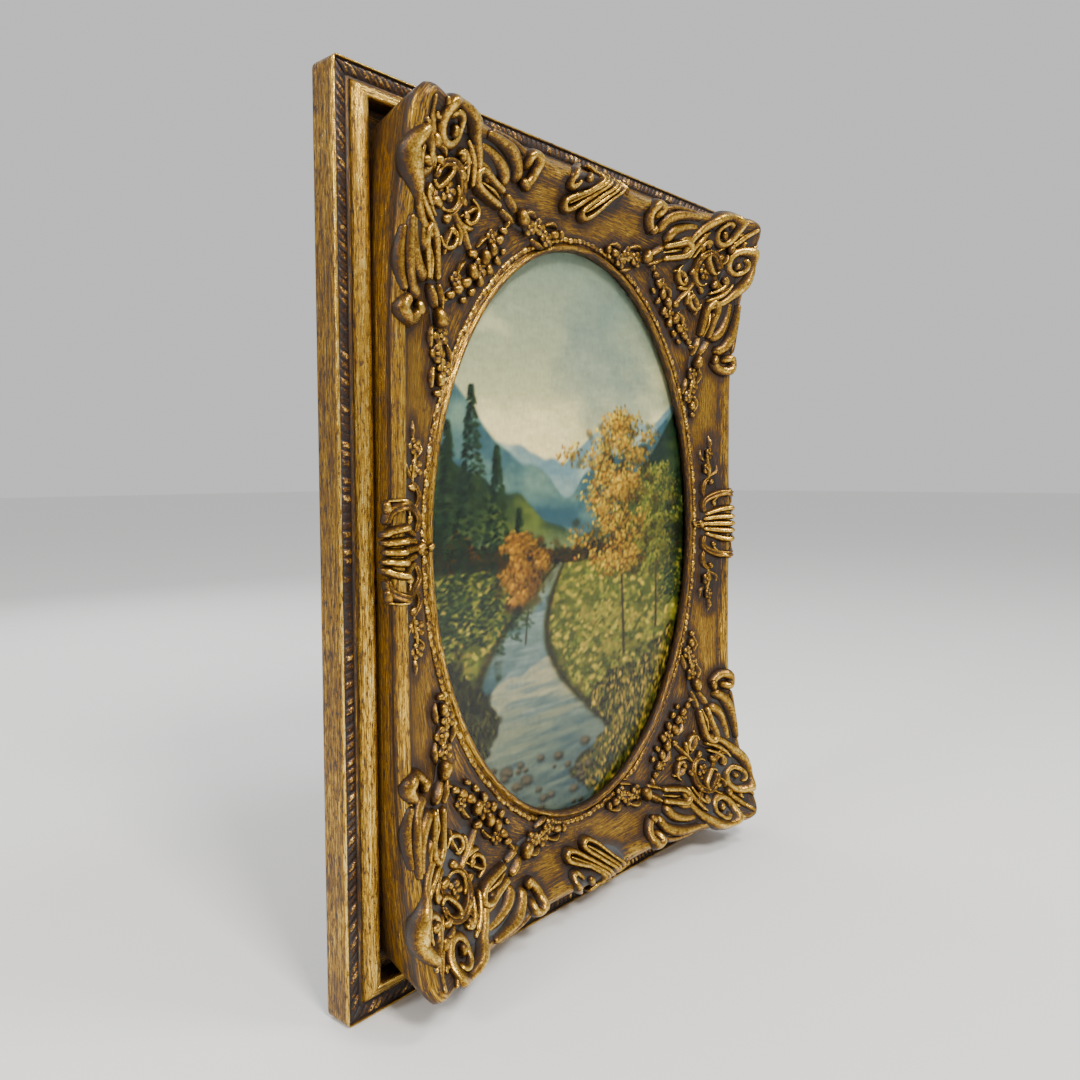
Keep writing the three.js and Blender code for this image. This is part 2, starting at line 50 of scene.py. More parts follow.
HALF_OUTER = (177.0, 232.0)
HALF_FRONT = (158.0, 213.0)
HALF_SIGHT = (123.0, 170.0)
CENTRE_DROP = 212.0
BACK_DEPTH = 16.0
BACK_WIDTH = 40.0
BACK_CORNER_RADIUS = 4.0
BEAD_STRIP = 8.5
OVOLO_WIDTH = 7.5
OVOLO_RISE = 5.5
LEDGE = 9.0
FRONT_BASE = 9.3
CREST_DEPTH = 35.0
EAR_DEPTH = 62.0
HOLLOW_DEPTH = 22.0
LIP_EDGE_DEPTH = 19.0
LIP_WIDTH = 9.5
RABBET = 6.0
GLASS_SEAT = 16.9
GLASS_EDGE = 16.6
GLASS_THICKNESS = 2.0
GLASS_RISE = 7.0
PICTURE_DEPTH = 14.3
RIM_WIDTH = 6.0
RIDGE_RISE = 2.5
EAR_RADIUS = 11.0
EAR_REACH = 126.0
EAR_FLARE = 4.0
EAR_TUCK = 8.0
CUSP_RISE = 2.5
CUSP_REACH = 45.0
HOLLOW_POWER = 1.7
LIFT_POWER = 2.2
ARM_SHARE = 0.42
HANGER_LENGTH = 52.0
HANGER_HEIGHT = 9.0
HANGER_HEIGHT_UP = CENTRE_DROP - 11.0
POCKET_DEPTH = 3.0
POCKET_GAP = 1.2

# The finer form of the visual moulding

GREATEST_DEPTH = 62.6
LIP_ROLL = 4.6
RIDGE_WIDTH = 10.0
EAR_BREADTH = 4.0
EDGE_RADIUS = 1.6
EAR_ROUNDING = 5.0

# How the castings sit on the front frame

OVERHANG_BEND = 0.16
OVERHANG_POWER = 1.7
STROKE_STEP = 1.3
STROKE_SINK = 0.6
FOOT_SINK = 1.2


# Front frame: where its outline runs and how far it stands out

def corner_nearness(x, z):
    """1 at a corner of the front frame, falling to 0 at the ear's reach."""
    distance = np.hypot(np.abs(x) - HALF_FRONT[0], np.abs(z) - HALF_FRONT[1])
    return np.maximum(0, 1 - distance / EAR_REACH)


def outline_sweep(x, z):
    """How far the outline swings out, at the ears and at the cusp in the middle of each side."""
    cusp = np.maximum(0, 1 - np.minimum(np.abs(x), np.abs(z)) / CUSP_REACH)
    return EAR_FLARE * corner_nearness(x, z) ** 2 + CUSP_RISE * cusp ** 2


def inside_outline(x, z):
    """Distance from the outline, positive inside it."""
    over_x = np.abs(x) - (HALF_FRONT[0] - EAR_RADIUS)
    over_z = np.abs(z) - (HALF_FRONT[1] - EAR_RADIUS)
    outside = np.hypot(np.maximum(over_x, 0), np.maximum(over_z, 0))
    return EAR_RADIUS - outside - np.minimum(np.maximum(over_x, over_z), 0) + outline_sweep(x, z)


def outside_lip(x, z):
    a = HALF_SIGHT[0] + LIP_WIDTH
    b = HALF_SIGHT[1] + LIP_WIDTH
    k = np.hypot(x / a, z / b)
    return np.maximum(0, k * (k - 1) / np.maximum(np.hypot(x / a ** 2, z / b ** 2), 1e-9))


def ridge_width(x, z):
    """The rounded rim grows broader towards the ears."""
    return RIDGE_WIDTH + EAR_BREADTH * corner_nearness(x, z) ** 3


def edge_drop(x, z, inside):
    """How far the rim's outer edge rounds down to the wall."""
    radius = EDGE_RADIUS + EAR_ROUNDING * corner_nearness(x, z) ** 3
    return radius * (1 - np.sqrt(1 - np.clip(1 - inside / radius, 0, 1) ** 2))


def front_depth(x, z):
    inside = inside_outline(x, z)
    from_lip = outside_lip(x, z)
    across = from_lip / np.maximum(from_lip + np.maximum(0, inside - RIM_WIDTH), 1e-6)
    lift = (EAR_DEPTH - CREST_DEPTH) * corner_nearness(x, z) ** LIFT_POWER
    foot = CREST_DEPTH - RIDGE_RISE + lift
    ridge = RIDGE_RISE * np.sin(np.pi * np.clip(inside / ridge_width(x, z), 0, 1))
    return HOLLOW_DEPTH + (foot - HOLLOW_DEPTH) * across ** HOLLOW_POWER + ridge - edge_drop(x, z, inside)


def seat_depth(x, z):
    """Depth under a carving. Past the rim the carving bends back over the wall."""
    beyond = np.maximum(0, -inside_outline(x, z))
    return front_depth(x, z) - OVERHANG_BEND * beyond ** OVERHANG_POWER


def quarter_outline(t):
    """Place and outward direction on the plain outline at a share of one quarter."""
    arm = np.array(HALF_FRONT) - EAR_RADIUS
    angle = np.clip((t - ARM_SHARE) / (1 - 2 * ARM_SHARE), 0, 1) * np.pi / 2
    nx, nz = np.cos(angle), np.sin(angle)
    x = np.where(t > 1 - ARM_SHARE, arm[0] * (1 - t) / ARM_SHARE, arm[0] + EAR_RADIUS * nx)
    z = np.where(t < ARM_SHARE, arm[1] * t / ARM_SHARE, arm[1] + EAR_RADIUS * nz)
    return x, z, nx, nz


def outline_point(t, inset):
    x, z, nx, nz = quarter_outline(t)
    shift = outline_sweep(x, z) - inset
    return x + nx * shift, z + nz * shift


def oval(angle, offset):
    return (HALF_SIGHT[0] + offset) * np.cos(angle), (HALF_SIGHT[1] + offset) * np.sin(angle)


def oval_point(t, offset):
    return oval(t * np.pi / 2, offset)


# Meshes

def even_shares(count):
    return np.arange(count) / count


def grid_faces(rows, columns, wrap_rows=False, wrap_columns=False, start=0):
    r = np.arange(rows if wrap_rows else rows - 1)[:, None]
    c = np.arange(columns if wrap_columns else columns - 1)[None, :]
    next_r = (r + 1) % rows
    next_c = (c + 1) % columns
    quads = np.stack([r * columns + c, r * columns + next_c,
                      next_r * columns + next_c, next_r * columns + c], axis=-1)
    return quads.reshape(-1, 4) + start


def to_metres(points):
    x, depth, z = points.T
    return np.stack([x, -depth, z - CENTRE_DROP], axis=1) / 1000


def joined(x, depth, z):
    """Points, row by row, from three arrays of one shape."""
    return np.stack([x, depth, z], axis=-1).reshape(-1, 3)


def outward(points, faces):
    """Turns all four-sided faces over when the closed skin is inside out."""
    a, b, c, d = (points[faces[:, k]] for k in range(4))
    volume = (a * (np.cross(b, c) + np.cross(c, d))).sum()
    return faces if volume > 0 else faces[:, ::-1]


def sweep_faces(points, stations, columns):
    """Faces of a closed band swept through the stations, and its two ends, all turned outward."""
    plain = grid_faces(stations, columns, wrap_columns=True)
    faces = outward(points, plain)[:, ::-1]
    first = np.arange(columns)[None, :]
    last = first + (stations - 1) * columns
    clockwise = np.array_equal(faces[0], plain[0])
    return [faces, first[:, ::-1], last] if clockwise else [faces, first, last[:, ::-1]]


def ring_faces(points, stations, columns):
    """Faces of a closed band swept once round the picture."""
    return [outward(points, grid_faces(stations, columns, wrap_rows=True, wrap_columns=True))[:, ::-1]]


def link_object(name, data):
    """Adds an object with this data to the scene."""
    thing = bpy.data.objects.new(name, data)
    bpy.context.scene.collection.objects.link(thing)
    return thing


def add_mesh(name, points, faces, material, nodes, painted_light=None, uv=None, colour=None):
    """Makes one piece from points in millimetres and a list of face arrays."""
    mesh = bpy.data.meshes.new(name)
    loops = [face.tolist() for group in faces for face in group]
    mesh.from_pydata(to_metres(points).tolist(), [], loops)
    mesh.polygons.foreach_set("use_smooth", np.ones(len(mesh.polygons), dtype=bool))
    # This attribute carries painted shade, low, and painted highlight, high, for the gilding.
    if painted_light is not None:
        layer = mesh.attributes.new("painted_light", "FLOAT", "POINT")
        layer.data.foreach_set("value", np.asarray(painted_light, dtype=np.float32))
    if uv is not None:
        corners = np.empty(len(mesh.loops), dtype=np.int32)
        mesh.loops.foreach_get("vertex_index", corners)
        layer = mesh.uv_layers.new(name="along")
        layer.data.foreach_set("uv", uv[corners].astype(np.float32).ravel())
    if colour is not None:
        layer = mesh.color_attributes.new("paint", "FLOAT_COLOR", "POINT")
        alpha = np.ones((len(colour), 1))
        layer.data.foreach_set("color", np.hstack([colour, alpha]).astype(np.float32).ravel())
    mesh.materials.append(material)
    piece = link_object(name, mesh)
    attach(piece, "root")
    if nodes:
        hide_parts(*nodes)
    return piece


# Materials

class Shader:
    """Small helper that adds nodes to one material."""

    def __init__(self, name):
        self.material = bpy.data.materials.new(name)
        self.material.use_nodes = True
        self.tree = self.material.node_tree
        self.main = self.tree.nodes["Principled BSDF"]

    def node(self, kind, **values):
        node = self.tree.nodes.new(kind)
        for key, value in values.items():
            if hasattr(node, key):
                setattr(node, key, value)
            else:
                node.inputs[key].default_value = value
        return node

    def link(self, source, target):
        self.tree.links.new(source, target)

    def maths(self, operation, a, b):
        node = self.node("ShaderNodeMath", operation=operation)
        for socket, value in zip(node.inputs, (a, b)):
            if isinstance(value, (int, float)):
                socket.default_value = value
            else:
                self.link(value, socket)
        return node.outputs[0]

    def noise(self, vector, scale, detail=4.0, roughness=0.6, stretch=(1, 1, 1)):
        mapping = self.node("ShaderNodeMapping")
        mapping.inputs["Scale"].default_value = stretch
        self.link(vector, mapping.inputs["Vector"])
        noise = self.node("ShaderNodeTexNoise", Scale=scale, Detail=detail, Roughness=roughness)
        self.link(mapping.outputs[0], noise.inputs["Vector"])
        return noise.outputs["Fac"]

    def ramp(self, factor, stops):
        node = self.node("ShaderNodeValToRGB")
        elements = node.color_ramp.elements
        while len(elements) < len(stops):
            elements.new(0.5)
        for element, (position, colour) in zip(elements, stops):
            element.position = position
            element.color = (*colour, 1)
        self.link(factor, node.inputs[0])
        return node.outputs[0]

    def between(self, value, low, high, to_low, to_high):
        node = self.node("ShaderNodeMapRange")
        for key, number in (("From Min", low), ("From Max", high),
                            ("To Min", to_low), ("To Max", to_high)):
            node.inputs[key].default_value = number
        self.link(value, node.inputs["Value"])
        return node.outputs[0]

    def mix(self, factor, a, b):
        node = self.node("ShaderNodeMix", data_type="RGBA")
        self.link(factor, node.inputs[0])
        for socket, value in ((node.inputs[6], a), (node.inputs[7], b)):
            if isinstance(value, tuple):
                socket.default_value = (*value, 1)
            else:
                self.link(value, socket)
        return node.outputs[2]

    def bump(self, height, distance, strength=1.0):
        node = self.node("ShaderNodeBump", Strength=strength, Distance=distance)
        self.link(height, node.inputs["Height"])
        self.link(node.outputs[0], self.main.inputs["Normal"])


def gilding(name, tones, streaks=True, wash=0.35, contrast=0.8, flecks=0.34, grain=1.0):
    """Metal leaf with painted shade in the recesses and painted highlight on the crests, streaked along the
    moulding.
    """
    s = Shader(name)
    place = s.node("ShaderNodeTexCoord").outputs["Object"]
    # Painted shade in the recesses and painted highlight on the crests come from this attribute.
    painted_light = s.node("ShaderNodeAttribute", attribute_name="painted_light").outputs["Fac"]
    if streaks:
        along = s.node("ShaderNodeUVMap", uv_map="along").outputs[0]
        streak = s.noise(along, 1.0, 5.0, 0.6, (0.35, 7.0, 1.0))
        fine = s.noise(along, 1.0, 3.0, 0.7, (1.5, 19.0, 1.0))
        dash = s.noise(along, 1.0, 4.0, 0.8, (1.7, 8.0, 3.0))
    else:
        streak = s.noise(place, 330.0, 4.0, 0.6)
        fine = s.noise(place, 1100.0, 2.0, 0.6)
        dash = s.noise(place, 700.0, 3.0, 0.75)
    blotch = s.noise(place, 26.0, 3.0, 0.6)
    speck = s.noise(place, 1300.0, 2.0, 0.7)
    tone = s.maths("MULTIPLY", painted_light, contrast)
    for pattern, low, high, darkest, lightest in ((streak, 0.35, 0.65, -0.15 * grain, 0.17 * grain),
                                                  (fine, 0.36, 0.64, -0.18 * grain, 0.18 * grain),
                                                  (dash, 0.53, 0.58, 0.0, -flecks),
                                                  (blotch, 0.3, 0.7, -0.05, 0.06)):
        tone = s.maths("ADD", tone, s.between(pattern, low, high, darkest, lightest))
    colour = s.ramp(tone, tones)
    flaw = s.between(speck, 0.67, 0.71, 0.0, 0.85 * grain)
    colour = s.mix(flaw, colour, (0.016, 0.008, 0.003))
    split = s.node("ShaderNodeSeparateXYZ")
    s.link(place, split.inputs[0])
    bottom = s.between(split.outputs["Z"], -0.30, -0.42, 0.2, 1.0)
    recess = s.between(painted_light, 0.55, 0.15, 0.0, 1.0)
    dusty = s.between(blotch, 0.45, 0.62, 0.0, wash)
    mask = s.maths("MULTIPLY", s.maths("MULTIPLY", bottom, recess), dusty)
    colour = s.mix(mask, colour, (0.085, 0.095, 0.10))
    s.link(colour, s.main.inputs["Base Color"])
    s.link(s.between(tone, 0.15, 0.85, 0.50, 0.20), s.main.inputs["Roughness"])
    s.link(s.between(tone, 0.15, 0.6, 0.10, 0.92), s.main.inputs["Metallic"])
    height = s.maths("ADD", s.maths("MULTIPLY", streak, 0.8), s.maths("MULTIPLY", fine, 0.3))
    height = s.maths("ADD", height, s.maths("MULTIPLY", speck, 0.2))
    s.bump(height, 0.0005 * grain, 0.9)
    return s.material


# Colours from painted shade up to painted highlight along the painted light.
RAIL_TONES = [(0.0, (0.010, 0.004, 0.002)), (0.25, (0.030, 0.012, 0.003)), (0.42, (0.13, 0.056, 0.006)),
              (0.56, (0.32, 0.165, 0.014)), (0.72, (0.60, 0.36, 0.05)), (0.95, (0.95, 0.70, 0.22))]
CAST_TONES = [(0.0, (0.006, 0.003, 0.002)), (0.33, (0.024, 0.010, 0.003)), (0.52, (0.12, 0.053, 0.008)),
              (0.70, (0.33, 0.175, 0.022)), (0.86, (0.60, 0.365, 0.055)), (0.98, (0.93, 0.67, 0.2))]
BEAD_TONES = [(0.0, (0.008, 0.004, 0.003)), (0.3, (0.030, 0.012, 0.006)), (0.5, (0.11, 0.046, 0.012)),
              (0.68, (0.46, 0.25, 0.05)), (0.9, (0.85, 0.58, 0.18))]


def clear_glass():
    s = Shader("domed_glass_clear")
    s.main.inputs["Base Color"].default_value = (0.92, 0.96, 0.95, 1)
    s.main.inputs["Metallic"].default_value = 1.0
    s.main.inputs["Roughness"].default_value = 0.03
    s.main.inputs["Alpha"].default_value = 0.014
    return s.material


def oil_paint():
    s = Shader("oil_paint")
    colour = s.node("ShaderNodeVertexColor", layer_name="paint").outputs["Color"]
    place = s.node("ShaderNodeTexCoord").outputs["Object"]
    bristle = s.noise(place, 700.0, 4.0, 0.65, (1.0, 1.0, 0.45))
    weave = s.noise(place, 2600.0, 1.0, 0.5)
    shade = s.between(bristle, 0.25, 0.75, 0.86, 1.12)
    scaled = s.node("ShaderNodeVectorMath", operation="SCALE")
    s.link(colour, scaled.inputs[0])
    s.link(shade, scaled.inputs["Scale"])
    s.link(scaled.outputs[0], s.main.inputs["Base Color"])
    s.link(s.between(bristle, 0.3, 0.7, 0.62, 0.48), s.main.inputs["Roughness"])
    s.main.inputs["Specular IOR Level"].default_value = 0.12
    s.bump(s.maths("ADD", bristle, s.maths("MULTIPLY", weave, 0.3)), 0.0001, 0.12)
    return s.material


def plain(name, colours, scale, roughness, metallic=0.0, stretch=(1, 1, 1)):
    s = Shader(name)
    place = s.node("ShaderNodeTexCoord").outputs["Object"]
    grain = s.noise(place, scale, 5.0, 0.6, stretch)
    s.link(s.ramp(grain, [(0.3, colours[0]), (0.7, colours[1])]), s.main.inputs["Base Color"])
    s.link(s.between(grain, 0.3, 0.7, roughness + 0.08, roughness - 0.08), s.main.inputs["Roughness"])
    s.main.inputs["Metallic"].default_value = metallic
    s.bump(grain, 0.0001, 0.5)
    return s.material


# Carving: strokes, balls, flowers and leaves seated on the front frame

def resampled(places, steps):
    """Points on a smooth curve through the places, at so many even steps or at given shares of its
    length, with the directions there and the length."""
    knots = np.array(places, dtype=float)
    ends = np.vstack([2 * knots[0] - knots[1], knots, 2 * knots[-1] - knots[-2]])
    dense = []
    for i in range(1, len(ends) - 2):
        a, b, c, d = ends[i - 1:i + 3]
        s = np.linspace(0, 1, 24, endpoint=False)[:, None]
        dense.append(0.5 * (2 * b + (c - a) * s + (2 * a - 5 * b + 4 * c - d) * s ** 2
                            + (3 * b - a - 3 * c + d) * s ** 3))
    dense = np.vstack(dense + [knots[-1:]])
    length = np.concatenate([[0], np.cumsum(np.linalg.norm(np.diff(dense, axis=0), axis=1))])
    wanted = length[-1] * (np.linspace(0, 1, steps) if isinstance(steps, int) else steps)
    centre = np.stack([np.interp(wanted, length, dense[:, k]) for k in (0, 1)], axis=1)
    tangent = np.gradient(centre, axis=0)
    tangent /= np.maximum(np.linalg.norm(tangent, axis=1, keepdims=True), 1e-9)
    return centre, tangent, length[-1]


def round_profile(u):
    return np.sqrt(np.maximum(0, 1 - u ** 2))


def scroll_profile(u):
    return round_profile(u) * (0.58 + 0.42 * np.sin(np.pi * 0.95 * u) ** 2)


def strap_profile(u):
    return np.sqrt(np.maximum(0, 1 - u ** 4)) * (0.72 + 0.28 * np.cos(3 * np.pi * u))


def leaf_profile(u):
    edge = np.clip((1 - np.abs(u)) / 0.18, 0, 1)
    return edge * (0.42 + 0.58 * (1 - np.abs(u)) ** 1.3)


PROFILES = {"round": round_profile, "scroll": scroll_profile, "strap": strap_profile,
            "leaf": leaf_profile}


class Carving:
    """Gathers the strokes of one casting into a single mesh."""

    def __init__(self, place):
        self.place = place
        self.points = []
        self.painted_light = []
        self.quads = []
        self.fans = []
        self.count = 0

    def add(self, points, painted_light, rows, columns):
        points[:, 1] = np.minimum(points[:, 1], GREATEST_DEPTH)
        ends = points.reshape(rows, columns, 3)[[0, -1]].mean(axis=1)
        self.points += [points, ends]
        self.painted_light += [painted_light, np.array([painted_light[:columns].mean(), painted_light[-columns:].mean()])]
        quads = grid_faces(rows, columns, wrap_columns=True, start=self.count)
        ring = np.arange(columns)
        following = (ring + 1) % columns
        hub = np.full(columns, rows * columns)
        last = (rows - 1) * columns
        fans = self.count + np.vstack([np.stack([following, ring, hub], axis=1),
                                       np.stack([last + ring, last + following, hub + 1], axis=1)])
        local = quads - self.count
        if outward(points, local) is not local:
            quads = quads[:, ::-1]
            fans = fans[:, ::-1]
        self.quads.append(quads)
        self.fans.append(fans)
        self.count += len(points) + 2

    def stroke(self, places, width, rise, start=0.5, tip=0.5, profile="round", widest=0.5,
               follow=0.5, shade=1.0):
        """A carved band along a curve with rounded ends. It is widest at a share of its length and
        narrows to start and tip. follow says how closely its cross-section follows the seat."""
        knots = [self.place(p) for p in places]
        length = resampled(knots, 8)[2]
        steps = int(np.clip(length / STROKE_STEP, 12, 60))
        t = np.linspace(0, 1, steps)
        share = t - 0.6 * np.sin(2 * np.pi * t) / (2 * np.pi)
        centre, tangent, _ = resampled(knots, share)
        taper = np.interp(share, [0, widest, 1], [start, 1, tip])
        from_end = np.minimum(share * length / (width * start), (1 - share) * length / (width * tip))
        blunt = np.sqrt(np.maximum(0.0, 1 - (1 - np.clip(from_end, 0.03, 1)) ** 2))
        size = taper * blunt
        half = width * size
        u = np.sin(np.linspace(-np.pi / 2, np.pi / 2, 13))
        height = PROFILES[profile](u)
        normal = np.stack([tangent[:, 1], -tangent[:, 0]], axis=1)
        x = centre[:, :1] + normal[:, :1] * half[:, None] * u
        z = centre[:, 1:] + normal[:, 1:] * half[:, None] * u
        heart = seat_depth(centre[:, 0], centre[:, 1])[:, None]
        seat = (1 - follow) * heart + follow * seat_depth(x, z)
        top = seat - STROKE_SINK + (rise + STROKE_SINK) * size[:, None] * height
        foot_u = np.array([0.8, -0.8])
        foot_x = centre[:, :1] + normal[:, :1] * half[:, None] * foot_u
        foot_z = centre[:, 1:] + normal[:, 1:] * half[:, None] * foot_u
        foot = np.minimum(seat_depth(foot_x, foot_z), heart) - FOOT_SINK
        points = joined(np.hstack([x, foot_x]), np.hstack([top, foot]), np.hstack([z, foot_z]))
        # Painted highlight along the crest, painted shade on the flanks and at the feet; shade lowers it
        # all as painted shade.
        crest = np.broadcast_to(height, top.shape) * (0.6 + 0.4 * blunt[:, None])
        painted_shine = shade * np.hstack([0.36 + 0.64 * crest ** 3, 0.12 + 0 * foot])
        self.add(points, painted_shine.ravel(), steps, len(u) + 2)

    def strokes(self, rows, **common):
        """Strokes from rows of places, width, rise, start and tip. common holds for all of them."""
        for row in rows:
            self.stroke(*row, **common)

    def ground(self, places, width, rise=2.4):
        """The slightly raised field that carved forms stand on, darkened with painted shade."""
        self.stroke(places, width, rise, start=0.55, tip=0.55, follow=1.0, shade=0.32)

    def boss(self, place, reach, angle, depth, painted_shine):
        """Rings of points around a place, at a reach from it and a depth over its seat."""
        x, z = self.place(place)
        seat = seat_depth(np.array(x), np.array(z))
        points = joined(x + reach * np.cos(angle), seat + depth + 0 * reach, z + reach * np.sin(angle))
        self.add(points, (painted_shine + 0 * reach).ravel(), *reach.shape)

    def ball(self, place, radius, lift=0.35):
        """A slightly uneven berry."""
        x, z = self.place(place)
        polar = np.linspace(0.12, np.pi - 0.12, 7)[:, None]
        turn = np.linspace(0, 2 * np.pi, 12, endpoint=False)[None, :]
        phase = 1.7 * x + 0.9 * z
        uneven = 1 + 0.2 * np.cos(2 * turn + phase) + 0.1 * np.cos(3 * turn - phase)
        # Painted highlight on the berry's top, painted shade towards its foot.
        painted_shine = 0.3 + 0.7 * (0.5 + 0.5 * np.cos(polar)) ** 3
        depth = radius * (lift + 0.9 * np.cos(polar))
        self.boss(place, radius * np.sin(polar) * uneven, turn, depth, painted_shine)

    def balls(self, lift, rows):
        """Balls from rows of two place values and a radius."""
        for p, q, radius in rows:
            self.ball((p, q), radius, lift)

    def flower(self, place, radius, petals=5, turn=0.0):
        """A cupped blossom with a berry in its middle."""
        share = np.array([0.05, 0.25, 0.45, 0.65, 0.85, 1.0, 0.8])[:, None]
        cup = np.array([0.5, 0.62, 0.85, 1.0, 0.92, 0.4, -0.5])[:, None]
        angle = np.linspace(0, 2 * np.pi, 6 * petals, endpoint=False)[None, :] + turn
        lobe = np.abs(np.cos(petals * angle / 2))
        depth = radius * 0.55 * cup * (0.72 + 0.28 * lobe ** 0.5)
        # Painted highlight on the raised parts of the petals, painted shade between them and under their
        # rims.
        painted_shine = np.clip(0.15 + 0.8 * cup * lobe ** 0.7, 0, 1)
        self.boss(place, radius * share * (0.68 + 0.32 * lobe ** 0.6), angle, depth, painted_shine)
        self.ball(place, radius * 0.3, lift=1.0)

    def finish(self):
        return (np.vstack(self.points), np.concatenate(self.painted_light),
                np.vstack(self.quads), np.vstack(self.fans))


def corner_place(place):
    return HALF_FRONT[0] - place[0], HALF_FRONT[1] - place[1]


def swapped_corner_place(place):
    return corner_place(place[::-1])


def side_place(place):
    return HALF_FRONT[0] - place[0], place[1]


def lower_side_place(place):
    return HALF_FRONT[0] - place[0], -place[1]


def top_place(place):
    return place[0], HALF_FRONT[1] - place[1]


def carve_arm(c):
    """One arm of a corner: scroll, leaf fingers, strap and spray of flowers."""
    c.ground([(24, 14), (45, 15), (70, 14), (92, 12)], 8.5)
    c.ground([(50, 26), (66, 28), (82, 31), (98, 36), (124, 39)], 5.5, 1.6)
    c.ground([(88, 40), (80, 54), (70, 66)], 5.5, 1.4)
    volute = [(28.5 - (10.5 - 6.5 * t) * math.sin(2.35 * math.pi * t),
               9.5 - (10.5 - 6.5 * t) * math.cos(2.35 * math.pi * t)) for t in np.linspace(0, 1, 26)]
    c.stroke([(60, 32), (58, 23), (54, 15), (47, 8), (38, 1.5)] + volute, 4.6, 6.2, 0.55, 0.4, widest=0.42)
    c.balls(0.9, [(30, 11.5, 3.0)])
    c.strokes([([(55, 30), (52, 22), (47, 15), (42, 11)], 2.4, 5.4, 0.7, 0.6),
               ([(50, 29), (47, 22), (42, 17), (37, 19)], 2.2, 5.0, 0.6, 0.9)])
    # Painted shade darkens these leaf fingers and the low stroke after them.
    c.strokes([([(53, 17), (59, 18), (64, 20), (67, 25)], 4.0, 4.4),
               ([(54, 10), (64, 11), (73, 14), (78, 18), (80.5, 23.5)], 4.5, 5.2),
               ([(55, 4.5), (67, 5), (78, 7), (86.5, 11.5), (89.5, 19)], 4.4, 5.2)],
              tip=0.9, widest=0.75, shade=0.92)
    c.stroke([(60, 1.5), (72, 1), (82, 2), (90, 5)], 2.6, 2.6, 0.7, 0.8, shade=0.8)
    c.strokes([
        ([(95, 20), (100.5, 15), (102.5, 8), (98.5, 3), (93.5, 6), (96, 11)], 4.0, 5.4, 0.8, 0.8),
        ([(81, 26), (70, 23), (61, 20.5), (55.5, 23.5), (59, 28.5), (68, 31), (80, 33.5)], 3.1, 5.8,
         0.8, 0.8),
        ([(80, 29.5), (70, 27), (62, 25)], 1.7, 4.2),
        ([(99, 35), (105, 36), (112, 38), (122, 40), (130, 37)], 2.0, 3.2),
        ([(57, 34), (62, 38), (61, 44), (56, 47), (52, 45)], 2.1, 4.6, 0.5, 0.9),
        ([(15, 2), (18.5, 6), (16.5, 10), (13, 8.5)], 1.9, 3.0, 0.7, 0.8)])
    c.stroke([(36, 27), (43, 24), (47.5, 18), (45, 12)], 2.8, 5.4, 0.5, 0.9, "scroll")
    c.strokes([([(82, 26), (88, 30), (94, 34)], 3.8, 5.8, 0.8, 0.6),
               ([(80, 34), (87, 37), (94, 39)], 3.0, 5.0, 0.7, 0.5),
               ([(101, 32), (107, 30), (113, 32)], 2.8, 4.0, 0.5, 0.4),
               ([(109, 43.5), (115, 46), (121, 47)], 2.4, 3.6, 0.5, 0.4),
               ([(121, 34), (127, 32), (133, 33.5)], 2.6, 3.8, 0.5, 0.4),
               ([(49, 45), (55, 41), (60, 38.5), (66, 39)], 2.7, 4.8),
               ([(21, 19), (27, 20), (31, 24)], 2.0, 4.4),
               ([(86, 43), (88, 40), (87, 36.5)], 2.3, 4.0, 0.5, 0.4),
               ([(65, 57), (69, 52), (74, 50)], 2.4, 4.0)], profile="leaf")
    c.balls(0.7, [(95.5, 18.5, 3.6), (98, 35.5, 4.8), (43.5, 26.5, 3.4), (41, 18.5, 3.2), (48.5, 37.5, 3.0),
                  (53, 43.5, 2.6)])
    c.balls(0.6, [(128.5, 38, 3.2), (135, 36.5, 2.6), (70.5, 61, 3.9), (76.5, 56, 3.5), (81, 50, 3.3),
                  (84.5, 44.5, 2.8), (74, 67, 3.0), (80.5, 61, 2.6), (85.5, 55, 2.2)])
    c.flower((106, 38), 5.8, turn=0.3)
    c.flower((115, 36), 5.4, petals=4, turn=1.0)
    c.flower((122, 41.5), 5.4, turn=0.2)
    c.flower((76, 49), 4.6, turn=0.8)


def carve_centre(c):
    """On a corner's diagonal: the ear's rib, the cartouche, the leaf and the berries."""
    c.ground([(18, 18), (30, 30), (45, 45), (60, 60)], 17.0, 2.0)
    ring = [(35 + 11.5 * math.cos(a), 35 + 11.5 * math.sin(a)) for a in np.linspace(0.9, 5.4, 12) + 2.35]
    c.stroke(ring, 3.1, 6.4, 0.8, 0.8, "scroll")
    c.strokes([([(5, 5), (10, 10), (15, 15), (20, 19)], 2.8, 3.6, 0.6, 0.8),
               ([(22.5, 34), (27, 36.5), (32, 33), (36.5, 27), (34, 22.5)], 2.6, 5.8, 0.5, 0.8),
               ([(31, 42.5), (36, 45), (43, 43), (45, 36), (42.5, 31)], 2.0, 4.8, 0.5, 0.8),
               ([(46, 47), (49.5, 53), (49, 60)], 2.2, 4.8, 0.5, 0.8),
               ([(47, 46), (53, 49.5), (60, 49)], 2.2, 4.8, 0.5, 0.8)])
    c.stroke([(43, 43), (47, 47), (52, 52), (60, 60)], 3.2, 5.6, 0.7, 0.6, "leaf")
    c.balls(0.7, [(18.5, 18.5, 3.6), (25, 25, 3.2)])
    c.balls(0.6, [(61, 61, 3.0)])
    c.flower((35.5, 35.5), 6.6, petals=6)
    c.flower((67, 67), 5.8)


def carve_corner():
    c = Carving(corner_place)
    carve_arm(c)
    c.place = swapped_corner_place
    carve_arm(c)
    c.place = corner_place
    carve_centre(c)
    return c


